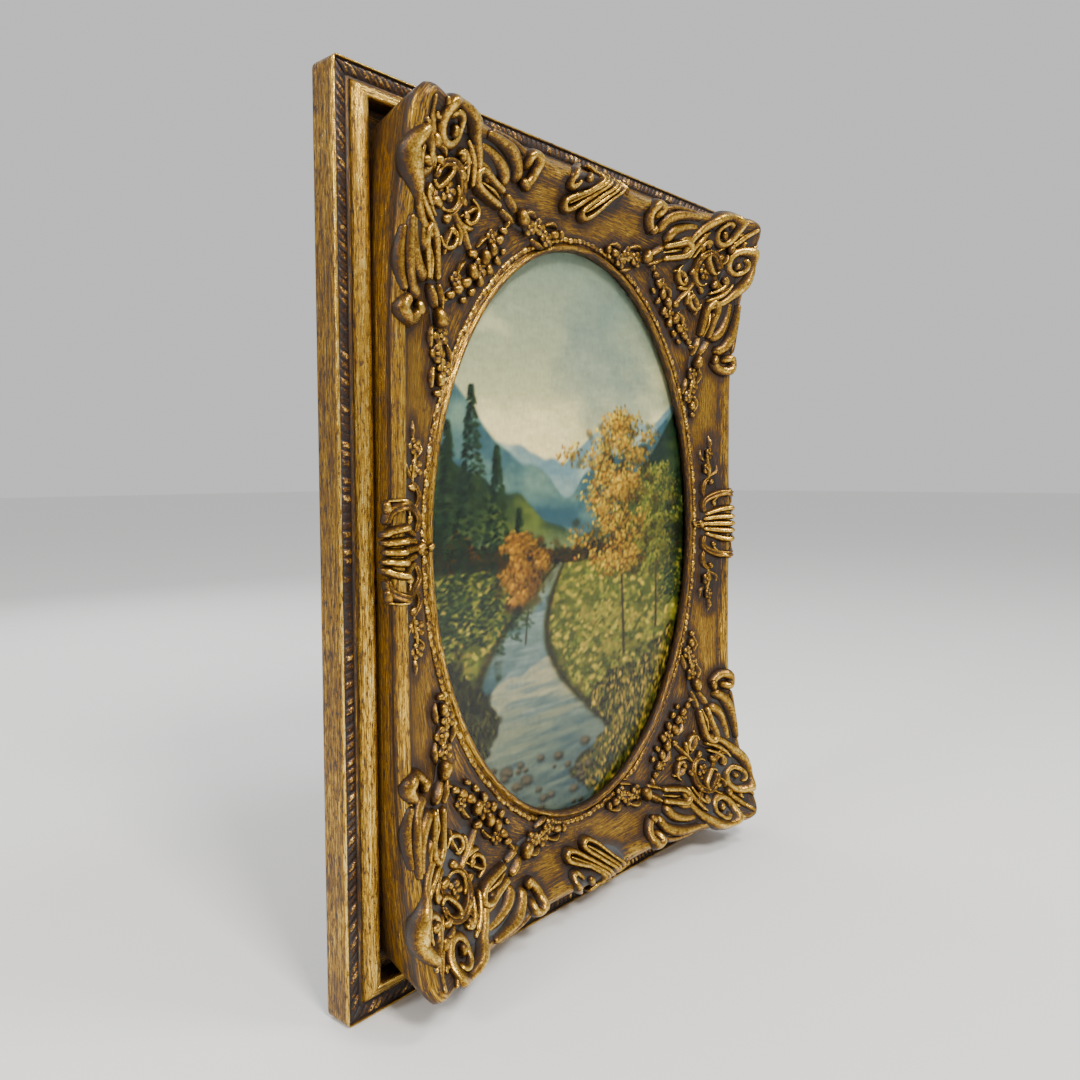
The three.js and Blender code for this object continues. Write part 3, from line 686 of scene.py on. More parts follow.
def carve_side_spray(c, sign):
    """What goes up, or mirrored down, the hollow from a side's clasp."""
    c.strokes([([(20, 8), (22, 15), (16, 20), (7, 22.5), (-1, 20), (-4, 13)], 3.3, 5.6, 0.6, 0.6),
               ([(19, 18), (22.5, 25), (20, 31), (15, 33)], 2.3, 3.8, 0.5, 0.6)], profile="scroll")
    c.strokes([([(14, 12), (12, 19), (4, 24.5), (-4, 24)], 1.8, 4.0, 0.5, 0.4),
               ([(18, 30), (17, 38), (19, 46), (18, 54)], 1.9, 3.0)])
    c.strokes([([(17, 34), (12, 38), (11, 43)], 1.9, 2.8), ([(21, 45), (25, 49), (24, 54)], 1.9, 2.6),
               ([(17.5, 54), (17, 59), (18, 64)], 2.6, 2.8)], tip=0.15, profile="leaf")
    c.balls(0.35, [(-3.2, 21, 3.2), (13, 15, 2.6), (15.5, 30.5, 2.6)])
    c.flower((19, 40), 5.4, turn=0.4 * sign)
    c.flower((18, 51), 4.8, turn=1.2)


def carve_side():
    """The ribbed clasp over a side's rim, with a spray up and down the hollow."""
    c = Carving(side_place)
    c.ground([(18, -56), (17, -30), (15, 0), (17, 30), (18, 56)], 8.0, 1.6)
    for z in (-9.2, -4.6, 0.0, 4.6, 9.2):
        bow = 1 + 0.25 * abs(z) / 9.2
        c.stroke([(23 - abs(z) * 0.35, z * 0.72), (14, z * 0.95), (4, z * bow), (-4.5, z * 0.92),
                  (-5.5, z * 0.75)], 2.6, 5.0, 0.7, 0.8)
    c.stroke([(22, 0), (27, 0), (31, 0)], 3.2, 3.6, 0.6, 0.4, "strap")
    c.balls(0.35, [(24, 0, 3.4), (31.5, 0, 2.4)])
    carve_side_spray(c, 1)
    c.place = lower_side_place
    carve_side_spray(c, -1)
    return c


def carve_crest():
    """A folded ribbon that hangs over the rim in two loops, with a curl and a leaf beside it."""
    c = Carving(top_place)
    c.ground([(-24, 8), (-8, 8), (10, 8), (25, 5)], 11.0, 1.6)
    ribbon = [(-9, -5.5), (-2, -3), (1, 2), (-6, 9), (-17, 14), (-25, 18.5), (-24, 22.5), (-18, 21.5),
              (-8, 15), (2, 8), (9, 1), (12, -5.5)]
    c.strokes([
        (ribbon, 2.5, 5.4, 0.7, 0.7),
        ([(x + 4.4, q - 1.6) for x, q in ribbon[1:5]], 2.1, 4.8, 0.7, 0.5),
        ([(-20, 18.5), (-12, 14), (-3, 8.5), (4, 2.5), (7, -4)], 1.8, 4.4, 0.6, 0.7),
        ([(17, -5), (13, 3), (4, 11), (-5, 18), (-8, 22.5), (-3, 24), (6, 18.5), (16, 9), (24, 1)],
         2.5, 5.4, 0.7, 0.6),
        ([(-3, 20), (5, 14), (14, 6), (20, -2)], 2.0, 4.6, 0.6, 0.7),
        ([(-14, -5), (-19, -1), (-24, 3), (-25, 9), (-20, 10), (-17, 6)], 2.6, 4.6, 0.6, 0.8)])
    c.stroke([(20, -4), (25, -1), (28, 5)], 3.4, 4.4, 0.7, 0.4, "leaf")
    c.balls(0.5, [(-12, 4, 3.0)])
    return c


def add_casting(name, node, carving, signs, material):
    points, painted_light, quads, fans = carving.finish()
    flipped = signs[0] * signs[1] < 0
    turned = points * np.array([signs[0], 1, signs[1]])
    # Depth is kept out of the wall, so the step to metres turns every face over once.
    faces = [group if flipped else group[:, ::-1] for group in (quads, fans)]
    add_mesh(name, turned, faces, material, [node], painted_light=painted_light)
    return turned


# Front frame

QUARTERS = ((1, 1, False), (-1, 1, True), (-1, -1, False), (1, -1, True))


def all_round(section, shares):
    """Rings of points from a quarter's section, once round the picture."""
    rings = []
    for sign_x, sign_z, back in QUARTERS:
        for share in shares:
            ring = section(1 - share if back else share)
            rings.append(ring * np.array([sign_x, 1, sign_z]))
    return np.array(rings)


HOLLOW_STEPS = 22
RIM_STEPS = 17
WALL_STEPS = 12


def front_section(t):
    """Closed section at a share of a quarter turn: the seat, the lip, the hollow, the rim, the wall."""
    t = np.array(t)
    ring = [(oval_point(t, RABBET), FRONT_BASE), (oval_point(t, RABBET), GLASS_SEAT),
            (oval_point(t, 0), GLASS_SEAT), (oval_point(t, 0), LIP_EDGE_DEPTH)]
    for share in np.linspace(0.1, 1, 7):
        bow = math.sin(math.pi * (0.15 + 0.85 * share))
        ring.append((oval_point(t, LIP_ROLL * share), LIP_EDGE_DEPTH + 0.4 + 2.9 * bow))
    ring += [(oval_point(t, 5.4), LIP_EDGE_DEPTH + 0.9), (oval_point(t, 8.4), LIP_EDGE_DEPTH + 1.6)]
    foot = np.array(oval_point(t, LIP_WIDTH))
    rim_foot = np.array(outline_point(t, RIDGE_WIDTH + 2))
    surface = [foot + (rim_foot - foot) * share for share in np.linspace(0, 1, HOLLOW_STEPS)]
    surface += [outline_point(t, (RIDGE_WIDTH + 2) * (1 - share) ** 1.2)
                for share in np.linspace(0, 1, RIM_STEPS)[1:]]
    ring += [(place, front_depth(*place)) for place in surface]
    edge = outline_point(t, 0)
    drawn = float(outline_sweep(*edge) + EAR_TUCK * corner_nearness(*edge) ** 4)
    wall_top = float(front_depth(*edge)) - 0.6
    for share in np.linspace(0, 1, WALL_STEPS):
        groove = 0.5 * math.exp(-((share - 0.05) / 0.04) ** 2)
        place = outline_point(t, drawn * share ** 1.15 + groove)
        ring.append((place, wall_top + (FRONT_BASE - wall_top) * share))
    return np.array([(x, depth, z) for (x, z), depth in ring], dtype=float)


# Painted light at each point of the section, after how proud it stands: painted shade low, painted
# highlight high. Lip, hollow, rim and wall
FRONT_PAINTED_LIGHT = np.array([0.1, 0.1, 0.2, 0.3] + [0.45, 0.58, 0.70, 0.76, 0.76, 0.68, 0.5] + [0.3, 0.4]
                        + [0.35] + list(0.60 + 0.10 * np.sin(np.linspace(0, np.pi, 20))) + [0.45]
                        + [0.35, 0.42, 0.55, 0.64, 0.70, 0.74, 0.76, 0.77, 0.77, 0.76, 0.74, 0.72, 0.69,
                           0.66, 0.60, 0.42]
                        + [0.22, 0.48, 0.62, 0.66, 0.66, 0.66, 0.64, 0.62, 0.58, 0.5, 0.35, 0.1])


# Painted shade darkens the leaf in the hollow around the castings, over the reach set below.
HOLLOW_COLUMNS = (13, 41)
DARKEST_PAINTED_SHADE = 0.32
PAINTED_SHADE_REACH = 6.5
FRAME_STATIONS = 120


def add_front_frame(material, carved):
    """The front moulding. carved holds points of the castings, around which painted shade darkens the leaf.
    """
    rings = all_round(front_section, even_shares(FRAME_STATIONS))
    count, columns, _ = rings.shape
    points = rings.reshape(-1, 3)
    painted_light = np.tile(FRONT_PAINTED_LIGHT, (count, 1))
    step = np.linalg.norm(np.diff(rings, axis=0, append=rings[:1]), axis=2).mean(axis=1)
    along = np.cumsum(step)[:, None] / 10 + np.zeros((1, columns))
    widths = np.linalg.norm(np.diff(rings, axis=1, prepend=rings[:, :1]), axis=2).mean(axis=0)
    across = np.cumsum(widths)[None, :] / 10 + np.zeros((count, 1))
    uv = np.stack([along, across], axis=-1).reshape(-1, 2)
    tree = KDTree(len(carved))
    for i, (x, _, z) in enumerate(carved):
        tree.insert((x, 0, z), i)
    tree.balance()
    shade = np.ones((count, columns))
    for r in range(count):
        for k in range(*HOLLOW_COLUMNS):
            distance = tree.find((rings[r, k, 0], 0, rings[r, k, 2]))[2]
            shade[r, k] = DARKEST_PAINTED_SHADE + (1 - DARKEST_PAINTED_SHADE) * min(1, distance / PAINTED_SHADE_REACH)
    # Painted shade deepens further towards the corners.
    painted_light = painted_light * shade * (1 - 0.22 * corner_nearness(rings[:, :, 0], rings[:, :, 2]) ** 2)
    add_mesh("front_frame_moulding", points, ring_faces(points, count, columns), material,
             ["front_frame"], painted_light=painted_light.ravel(), uv=uv)


SIGHT_BEADS = 224
SIGHT_BEAD_STEPS = 8
SIGHT_BEAD_OFFSET = 6.9
SIGHT_BEAD_FOOT = (7.6, 6.2)
WORN_ANGLE = 5.35
WORN_SPREAD = 0.25


def add_sight_beads(material):
    """Ring of small leaf-like beads around the oval, outside its smooth lip, worn at the lower right."""
    stations = SIGHT_BEADS * SIGHT_BEAD_STEPS
    angle = even_shares(stations) * 2 * np.pi
    a, b = HALF_SIGHT[0] + SIGHT_BEAD_OFFSET, HALF_SIGHT[1] + SIGHT_BEAD_OFFSET
    speed = np.hypot(a * np.sin(angle), b * np.cos(angle))
    length = np.concatenate([[0], np.cumsum((speed[:-1] + speed[1:]) / 2)])
    length /= length[-1] + speed[-1]
    even = np.interp(even_shares(stations), length, angle)[:, None]
    phase = np.arange(stations) / SIGHT_BEAD_STEPS % 1
    plump = np.repeat(rng.uniform(0.45, 1.0, SIGHT_BEADS), SIGHT_BEAD_STEPS)
    plump *= 1 - 0.7 * np.exp(-((angle - WORN_ANGLE) / WORN_SPREAD) ** 2)
    swell = ((0.45 + 0.55 * np.abs(np.sin(np.pi * phase)) ** 0.7) * plump)[:, None]
    across = np.linspace(-1, 1, 9)
    profile = np.sqrt(1 - across ** 2)[None, :]
    shift = np.repeat(rng.uniform(-0.6, 0.6, SIGHT_BEADS), SIGHT_BEAD_STEPS)[:, None]
    x, z = oval(even, SIGHT_BEAD_OFFSET + shift + across[None, :] * (1.2 + 1.0 * swell))
    depth = LIP_EDGE_DEPTH + 0.7 + (1.2 + 1.6 * swell) * profile
    foot_x, foot_z = oval(even, np.array(SIGHT_BEAD_FOOT)[None, :])
    foot = np.full_like(foot_x, LIP_EDGE_DEPTH)
    points = joined(np.hstack([x, foot_x]), np.hstack([depth, foot]), np.hstack([z, foot_z]))
    # Painted highlight on each bead's crest, painted shade at its foot.
    painted_light = np.hstack([0.25 + 0.75 * swell * profile, np.zeros_like(foot)]).ravel()
    add_mesh("sight_edge_beads", points, ring_faces(points, stations, len(across) + 2), material,
             [], painted_light=painted_light)


# Back frame

def back_section():
    """Points (offset inward, depth, painted light, bead share) across the outer moulding."""
    section = [(0, 0, 0.02, 0)]
    section += [(0, d, 0.62, 0) for d in (0.4, 4, 7, 10, 12, 14.4)]
    section += [(0.3, 15.5, 0.95, 0), (1.0, BACK_DEPTH, 1.0, 0), (1.5, BACK_DEPTH - 0.2, 0.5, 0),
                (1.8, BACK_DEPTH - 1.2, 0.05, 0)]
    for share in np.linspace(-1, 1, 9):
        section.append((4.9 + 2.9 * share, BACK_DEPTH - 1.6, 0.08, math.sqrt(1 - share ** 2)))
    start = BEAD_STRIP + 1
    section += [(BEAD_STRIP - 0.4, BACK_DEPTH - 1.7, 0.05, 0), (BEAD_STRIP, BACK_DEPTH - 1.2, 0.5, 0),
                (start, BACK_DEPTH - 1.4, 0.3, 0)]
    for degrees in np.linspace(8, 90, 9):
        angle = math.radians(degrees)
        section.append((start + OVOLO_WIDTH * (1 - math.cos(angle)),
                        BACK_DEPTH - 1.5 + OVOLO_RISE * math.sin(angle), 0.55 + 0.35 * math.sin(angle), 0))
    inner = start + OVOLO_WIDTH
    section += [(inner + 0.3, LEDGE + 9, 0.4, 0), (inner + 0.4, LEDGE + 1, 0.2, 0),
                (inner + 1.5, LEDGE, 0.3, 0), (inner + 4, LEDGE, 0.4, 0), (BACK_WIDTH, LEDGE, 0.1, 0),
                (BACK_WIDTH, 0, 0.02, 0)]
    return np.array(section)


RAIL_BEAD_PITCH = 4.3
RAIL_BEAD_STEPS = 5
MITRE_GAP = 0.21
STRIP_COLUMNS = (10, 20)


def add_back_rail(name, node, along_x, sign, material, bead_material):
    """One mitred length of the outer moulding, with its strip of beads in a material of its own."""
    section = back_section()
    half_length = HALF_OUTER[0] if along_x else HALF_OUTER[1]
    half_across = HALF_OUTER[1] if along_x else HALF_OUTER[0]
    beads = int(2 * half_length / RAIL_BEAD_PITCH)
    stations = beads * RAIL_BEAD_STEPS + 1
    s = np.linspace(-1, 1, stations)
    phase = (s + 1) / 2 * beads
    plump = rng.uniform(0.35, 1.0, beads + 1)[np.floor(phase).astype(int).clip(0, beads)]
    swell = np.abs(np.sin(np.pi * phase)) ** 0.6 * plump
    reach = half_length - section[:, 0] - MITRE_GAP
    along = s[:, None] * reach[None, :]
    out = sign * (half_across - section[:, 0])[None, :] + 0 * along
    depth = section[:, 1][None, :] + 1.9 * section[:, 3][None, :] * swell[:, None]
    x, z = (along, out) if along_x else (out, along)
    over_x = np.abs(x) - (HALF_OUTER[0] - BACK_CORNER_RADIUS)
    over_z = np.abs(z) - (HALF_OUTER[1] - BACK_CORNER_RADIUS)
    far = np.hypot(over_x, over_z)
    corner = (over_x > 0) & (over_z > 0) & (far > BACK_CORNER_RADIUS)
    pull = np.where(corner, BACK_CORNER_RADIUS / np.maximum(far, 1e-6), 1)
    x = np.where(corner, np.sign(x) * (HALF_OUTER[0] - BACK_CORNER_RADIUS + over_x * pull), x)
    z = np.where(corner, np.sign(z) * (HALF_OUTER[1] - BACK_CORNER_RADIUS + over_z * pull), z)
    points = joined(x, depth, z)
    # Painted shade in the gaps and at the wall, painted highlight on the edges and bead crests.
    painted_light = section[:, 2][None, :] + 0.95 * (section[:, 3][None, :] * swell[:, None]) ** 1.5
    across = np.cumsum(np.hypot(*np.diff(section[:, :2], axis=0, prepend=section[:1, :2]).T)) / 10
    uv = np.stack([along / 10, across[None, :] + 0 * along], axis=-1).reshape(-1, 2)
    faces = sweep_faces(points, stations, len(section))
    piece = add_mesh(name, points, faces, material, [node], painted_light=painted_light.ravel(), uv=uv)
    piece.data.materials.append(bead_material)
    in_strip = np.zeros(len(section), dtype=bool)
    in_strip[slice(*STRIP_COLUMNS)] = True
    index = np.zeros(len(piece.data.polygons), dtype=np.int32)
    index[:len(faces[0])] = np.tile(in_strip, stations - 1)
    piece.data.polygons.foreach_set("material_index", index)
    return piece


def cut_pocket(piece):
    """Opens the shallow pocket in the top rail's back where the hanger lies."""
    size = Vector((HANGER_LENGTH + POCKET_GAP, 2 * POCKET_DEPTH, HANGER_HEIGHT + POCKET_GAP)) / 1000
    place = Vector((0, 0, HANGER_HEIGHT_UP - CENTRE_DROP)) / 1000
    shape = bmesh.new()
    bmesh.ops.create_cube(shape, size=1.0, matrix=Matrix.LocRotScale(place, None, size))
    mesh = bpy.data.meshes.new("pocket")
    shape.to_mesh(mesh)
    shape.free()
    cutter = link_object("pocket", mesh)
    cut = piece.modifiers.new("pocket", "BOOLEAN")
    cut.operation = "DIFFERENCE"
    cut.object = cutter
    finished = bpy.data.meshes.new_from_object(piece.evaluated_get(bpy.context.evaluated_depsgraph_get()))
    for face in finished.polygons:
        face.use_smooth = face.normal.y < 0.9
    piece.modifiers.clear()
    piece.data = finished
    bpy.data.objects.remove(cutter)


# Picture: a calm river valley made of dabs of paint

PAINT_WIDTH = 420
PAINT_HEIGHT = 580
FAR_SHORE = 312

TUFTS = [(0.38, 0.41, 0.15), (0.52, 0.50, 0.19), (0.26, 0.30, 0.11), (0.66, 0.58, 0.24)]
FAR_TREES = [(0.10, 0.14, 0.08), (0.17, 0.20, 0.09), (0.09, 0.10, 0.06), (0.36, 0.22, 0.08)]
AUTUMN = [(0.74, 0.60, 0.15), (0.66, 0.46, 0.11), (0.84, 0.72, 0.24), (0.38, 0.30, 0.10)]
RUST = [(0.58, 0.40, 0.11), (0.68, 0.52, 0.15), (0.36, 0.26, 0.09)]
MOSS = [(0.44, 0.47, 0.18), (0.60, 0.56, 0.22), (0.26, 0.31, 0.13)]
BUSH_SHADE = [(0.10, 0.11, 0.05), (0.16, 0.15, 0.06)]
BUSH_LEAVES = [(0.34, 0.35, 0.12), (0.52, 0.46, 0.16), (0.20, 0.23, 0.09), (0.68, 0.57, 0.24)]
LEFT_SHADE = [(0.07, 0.08, 0.05), (0.12, 0.12, 0.06)]
LEFT_LEAVES = [(0.20, 0.22, 0.09), (0.33, 0.31, 0.12), (0.12, 0.13, 0.07)]


def smooth_step(share):
    return share * share * (3 - 2 * share)


def bilinear(grid, x, y, ease):
    """Values of a grid at places between its points."""
    ix, iy = x.astype(int), y.astype(int)
    fx, fy = ease(x - ix), ease(y - iy)
    if grid.ndim == 3:
        fx, fy = fx[..., None], fy[..., None]
    top = grid[iy, ix] * (1 - fx) + grid[iy, ix + 1] * fx
    below = grid[iy + 1, ix] * (1 - fx) + grid[iy + 1, ix + 1] * fx
    return top * (1 - fy) + below * fy


def smooth_noise(seed, scale_x, scale_y):
    """Soft random field over the canvas, from 0 to 1."""
    random = np.random.default_rng(seed)
    cells = random.random((int(PAINT_HEIGHT / scale_y) + 3, int(PAINT_WIDTH / scale_x) + 3))
    x = np.arange(PAINT_WIDTH)[None, :] / scale_x
    y = np.arange(PAINT_HEIGHT)[:, None] / scale_y
    return bilinear(cells, x, y, smooth_step)


def layered_noise(seed, scale_x, scale_y):
    return sum(smooth_noise(seed + k, scale_x / 2 ** k, scale_y / 2 ** k) / 2 ** (k + 1) for k in range(4))


def patches(seed, scale_x, scale_y, start, gain, most=1.0):
    """Mask of the places where layered noise passes the start value."""
    return np.clip((layered_noise(seed, scale_x, scale_y) - start) * gain, 0, most)


def colour_between(low, high, share):
    return np.array(low) + (np.array(high) - np.array(low)) * np.asarray(share)[..., None]


def blend_in(canvas, colour, mask):
    canvas += (np.asarray(colour) - canvas) * np.clip(mask, 0, 1)[..., None]


def dab(canvas, x, y, length, width, angle, colour, strength=0.85):
    """One elliptical touch of the brush."""
    reach = int(max(length, width)) + 1
    x0, x1 = max(0, int(x) - reach), min(PAINT_WIDTH, int(x) + reach + 1)
    y0, y1 = max(0, int(y) - reach), min(PAINT_HEIGHT, int(y) + reach + 1)
    if x0 >= x1 or y0 >= y1:
        return
    yy, xx = np.mgrid[y0:y1, x0:x1]
    dx, dy = xx - x, yy - y
    along = (dx * math.cos(angle) + dy * math.sin(angle)) / length
    across = (-dx * math.sin(angle) + dy * math.cos(angle)) / width
    mask = np.clip(1.6 * (1 - np.hypot(along, across)), 0, 1) * strength
    window = canvas[y0:y1, x0:x1]
    window += (np.array(colour) - window) * mask[..., None]


def dabs_over(canvas, places, sizes, colours, spread, angle=0.0, seed=1):
    """Many dabs with colours picked between the given ones."""
    random = np.random.default_rng(seed)
    for x, y in places:
        pick = random.integers(len(colours))
        tint = np.array(colours[pick]) * random.uniform(1 - spread, 1 + spread)
        size = random.uniform(*sizes)
        dab(canvas, x, y, size * 1.5, size * 0.8, angle + random.normal(0, 0.5), tint)


def paint_sky(canvas, u, v):
    canvas[:] = colour_between((0.82, 0.78, 0.56), (0.50, 0.55, 0.47), np.clip((v - 0.5) / 0.45, 0, 1))
    blend_in(canvas, (0.86, 0.82, 0.62), patches(11, 150, 60, 0.48, 4, 0.8))
    blend_in(canvas, (0.42, 0.49, 0.46), patches(21, 120, 70, 0.52, 3, 0.6))
    glow = np.exp(-((u - 0.35) / 0.28) ** 2 - ((v - 0.60) / 0.10) ** 2)
    blend_in(canvas, (0.93, 0.84, 0.62), glow * 0.75)


# Level, swing, rise at the sides, seed, shadow and light of each range, from far to near
HILLS = (
    (0.66, 0.10, 0.08, 3, (0.42, 0.52, 0.53), (0.62, 0.66, 0.58)),
    (0.58, 0.10, 0.22, 5, (0.22, 0.34, 0.37), (0.44, 0.53, 0.46)),
    (0.49, 0.08, 0.24, 8, (0.12, 0.20, 0.16), (0.37, 0.41, 0.19)),
)


def paint_hills(canvas, u, v):
    for level, swing, flank, seed, shadow, lit in HILLS:
        line = level + swing * (layered_noise(seed, 130, 400)[:1] - 0.5) * 2
        line = line + flank * np.abs(2 * u[:1] - 0.96) ** 1.6
        colour = colour_between(shadow, lit, patches(seed + 40, 50, 34, 0.35, 3))
        blend_in(canvas, colour, (line - v) * 160)
    haze = np.exp(-((v - 0.475) / 0.03) ** 2)
    blend_in(canvas, (0.58, 0.62, 0.54), haze * 0.4)


def river_centre(v):
    return 0.46 - 0.16 * np.sin((0.46 - v) * 9.0) - 0.35 * np.clip(0.2 - v, 0, 1)


def paint_valley(canvas, u, v):
    """Meadow, river and banks. Returns the mask of the river."""
    meadow = np.clip((0.462 - v) * 120, 0, 1)
    near = np.clip((0.46 - v) / 0.4, 0, 1)
    blend_in(canvas, colour_between((0.34, 0.37, 0.15), (0.20, 0.21, 0.07), near), meadow)
    dry_grass = colour_between((0.60, 0.55, 0.24), (0.46, 0.42, 0.12), near)
    blend_in(canvas, dry_grass, patches(61, 60, 14, 0.5, 5) * meadow * 0.8)
    half = 0.012 + 0.30 * near ** 1.25
    inside = half - np.abs(u - river_centre(v))
    river = np.clip(inside * 60, 0, 1) * meadow
    blend_in(canvas, colour_between((0.62, 0.66, 0.60), (0.20, 0.28, 0.30), near ** 0.8), river)
    blend_in(canvas, (0.62, 0.64, 0.58), patches(71, 60, 5, 0.52, 5) * river * (0.55 - 0.3 * near))
    random = np.random.default_rng(17)
    tufts = [(x, y) for x, y in zip(random.uniform(0, PAINT_WIDTH, 5200), random.uniform(312, 579, 5200))
             if river[int(y), int(x)] < 0.2]
    dabs_over(canvas, tufts, (1.8, 4.6), TUFTS, 0.2, 0.1, 18)
    bank = np.exp(-(inside / (0.006 + 0.02 * near)) ** 2) * meadow
    blend_in(canvas, (0.14, 0.13, 0.07), bank * 0.8)
    return river


def paint_spruce(canvas, x, foot, height, seed):
    random = np.random.default_rng(seed)
    for level in np.linspace(0, 1, int(height / 2.2)):
        width = (1 - level) ** 0.85 * height * 0.17 + 1
        y = foot - level * height
        for _ in range(5):
            shift = random.uniform(-1, 1) * width
            tone = random.uniform(0.5, 1.2)
            warm = 0.05 * (shift > 0)
            colour = (0.10 * tone + warm, 0.18 * tone + warm, 0.13 * tone)
            dab(canvas, x + shift, y + abs(shift) * 0.35, 4.5, 1.7, 0.35 * np.sign(shift), colour)


def paint_broadleaf(canvas, x, foot, height, spread, colours, seed):
    random = np.random.default_rng(seed)
    for level in np.linspace(0, 0.75, 60):
        lean = 5 * math.sin(level * 3 + seed)
        thickness = 0.5 + height * 0.012 * (1 - level)
        dab(canvas, x + lean, foot - level * height, 3, thickness, math.pi / 2, (0.16, 0.10, 0.06))
    for _ in range(7):
        reach = random.uniform(0.4, 0.9)
        side = random.uniform(-1, 1)
        for level in np.linspace(0, 1, 16):
            dab(canvas, x + side * spread * reach * level, foot - height * (0.35 + 0.4 * level * reach),
                2.2, 0.7, -0.9, (0.18, 0.11, 0.06))
    for _ in range(150):
        level = random.uniform(0.34, 0.98)
        narrow = math.sqrt(max(0.05, 1 - (2 * level - 1.25) ** 2))
        dab(canvas, x + random.normal(0, 0.42) * spread * narrow, foot - level * height, 9, 6,
            random.uniform(0, 3), np.array(colours[-1]) * random.uniform(0.35, 0.8), 0.5)
    clusters = [(random.normal(0, 0.42), random.uniform(0.36, 1.0)) for _ in range(52)]
    clusters.sort(key=lambda cluster: abs(cluster[0]), reverse=True)
    for side, level in clusters:
        narrow = math.sqrt(max(0.05, 1 - (2 * level - 1.25) ** 2))
        cx, cy = x + side * spread * narrow, foot - level * height
        for _ in range(55):
            px, py = cx + random.normal(0, spread * 0.15), cy + random.normal(0, height * 0.022)
            light = (cy - py) / (height * 0.07) + (cx - px) / (spread * 0.5)
            tint = np.array(colours[random.integers(len(colours))]) * np.clip(0.85 + 0.3 * light, 0.35, 1.3)
            dab(canvas, px, py, 3.0, 1.9, random.uniform(0, 3), tint)


# x, foot and height of each spruce on the canvas
SPRUCES = ((36, 372, 190), (66, 384, 235), (98, 378, 175), (12, 388, 210), (128, 372, 110),
           (404, 372, 150), (384, 366, 120))
BRUSH_UPRIGHT = math.pi / 2


def scattered(random, count, x_range, y_range):
    """Random places on the canvas, with ranges given as shares of its width and height."""
    return [(random.uniform(*x_range) * PAINT_WIDTH, random.uniform(*y_range) * PAINT_HEIGHT)
            for _ in range(count)]


def paint_far_bank(canvas, random):
    """A band of far trees, taller towards both sides."""
    places = [(x, FAR_SHORE + 4 - abs(random.normal(0, 9)) * (0.5 + abs(x / PAINT_WIDTH - 0.47) * 2.4))
              for x in random.uniform(0, PAINT_WIDTH, 3600)]
    places.sort(key=lambda place: place[1])
    dabs_over(canvas, places, (1.8, 4.2), FAR_TREES, 0.3)


def paint_trees(canvas):
    for i, (x, foot, height) in enumerate(SPRUCES):
        paint_spruce(canvas, x, foot, height, 100 + i)
    paint_broadleaf(canvas, 136, 392, 104, 34, RUST, 201)
    paint_broadleaf(canvas, 352, 404, 190, 56, MOSS, 202)
    paint_broadleaf(canvas, 290, 424, 262, 74, AUTUMN, 203)


def paint_bushes(canvas, random):
    """Dark bushes with lit leaves at the lower right, then at the lower left."""
    near = scattered(random, 3200, (0.45, 1.05), (0.70, 1.0))
    near = [(x, y) for x, y in near
            if x / PAINT_WIDTH > 0.66 - 0.5 * (y / PAINT_HEIGHT - 0.7) + 0.05 * math.sin(y / 11)
            and y > 416 + 26 * math.sin(x / 40) + random.normal(0, 9)]
    dabs_over(canvas, near[::3], (5, 9), BUSH_SHADE, 0.3)
    dabs_over(canvas, near, (1.6, 3.6), BUSH_LEAVES, 0.25, BRUSH_UPRIGHT - 0.2)
    left = scattered(random, 2400, (-0.02, 0.30), (0.64, 1.0))
    left = [(x, y) for x, y in left if x < 62 + 0.22 * (y - 380) + 16 * math.sin(y / 17)
            and y > 388 + 12 * math.sin(x / 15) + random.normal(0, 6)]
    dabs_over(canvas, left[::3], (5, 9), LEFT_SHADE, 0.3)
    dabs_over(canvas, left, (1.6, 3.6), LEFT_LEAVES, 0.3, BRUSH_UPRIGHT)


def paint_stones(canvas, random):
    for _ in range(46):
        x, y = random.uniform(0.16, 0.56) * PAINT_WIDTH, random.uniform(0.87, 0.99) * PAINT_HEIGHT
        size = random.uniform(3, 9)
        dab(canvas, x, y + 1.5, size * 1.3, size * 0.8, 0.1, (0.13, 0.12, 0.09))
        dab(canvas, x - 1, y, size, size * 0.55, 0.1, (0.42, 0.38, 0.28), 0.8)


def paint_picture():
    canvas = np.zeros((PAINT_HEIGHT, PAINT_WIDTH, 3))
    v, u = np.mgrid[0:PAINT_HEIGHT, 0:PAINT_WIDTH]
    u = u / PAINT_WIDTH
    v = 1 - v / PAINT_HEIGHT
    random = np.random.default_rng(5)
    paint_sky(canvas, u, v)
    paint_hills(canvas, u, v)
    river = paint_valley(canvas, u, v)
    paint_far_bank(canvas, random)
    paint_trees(canvas)
    mirrored = canvas[np.clip(2 * FAR_SHORE - np.arange(PAINT_HEIGHT), 0, PAINT_HEIGHT - 1)]
    blend_in(canvas, mirrored * 0.8, river * patches(83, 40, 6, 0.2, 1.6, 0.75))
    paint_bushes(canvas, random)
    paint_stones(canvas, random)
    grain = layered_noise(91, 9, 3) * 0.6 + layered_noise(95, 3, 9) * 0.4
    canvas *= (0.90 + 0.2 * grain)[..., None]
    return np.clip(1.06 * canvas, 0, 1) ** 1.2


def sampled(image, x_share, z_share):
    """Colour of the canvas at places given as shares of its width and height."""
    x = np.clip(x_share, 0, 1) * (PAINT_WIDTH - 1.001)
    y = np.clip(1 - z_share, 0, 1) * (PAINT_HEIGHT - 1.001)
    return bilinear(image, x, y, np.asarray)


EDGE_GAP = 0.6
PANEL_COLUMNS = 246
PANEL_ROWS = 392
PAINT_GAP = 0.15
TOUCH_RELIEF = 0.8
TOUCH_LIMIT = 0.03


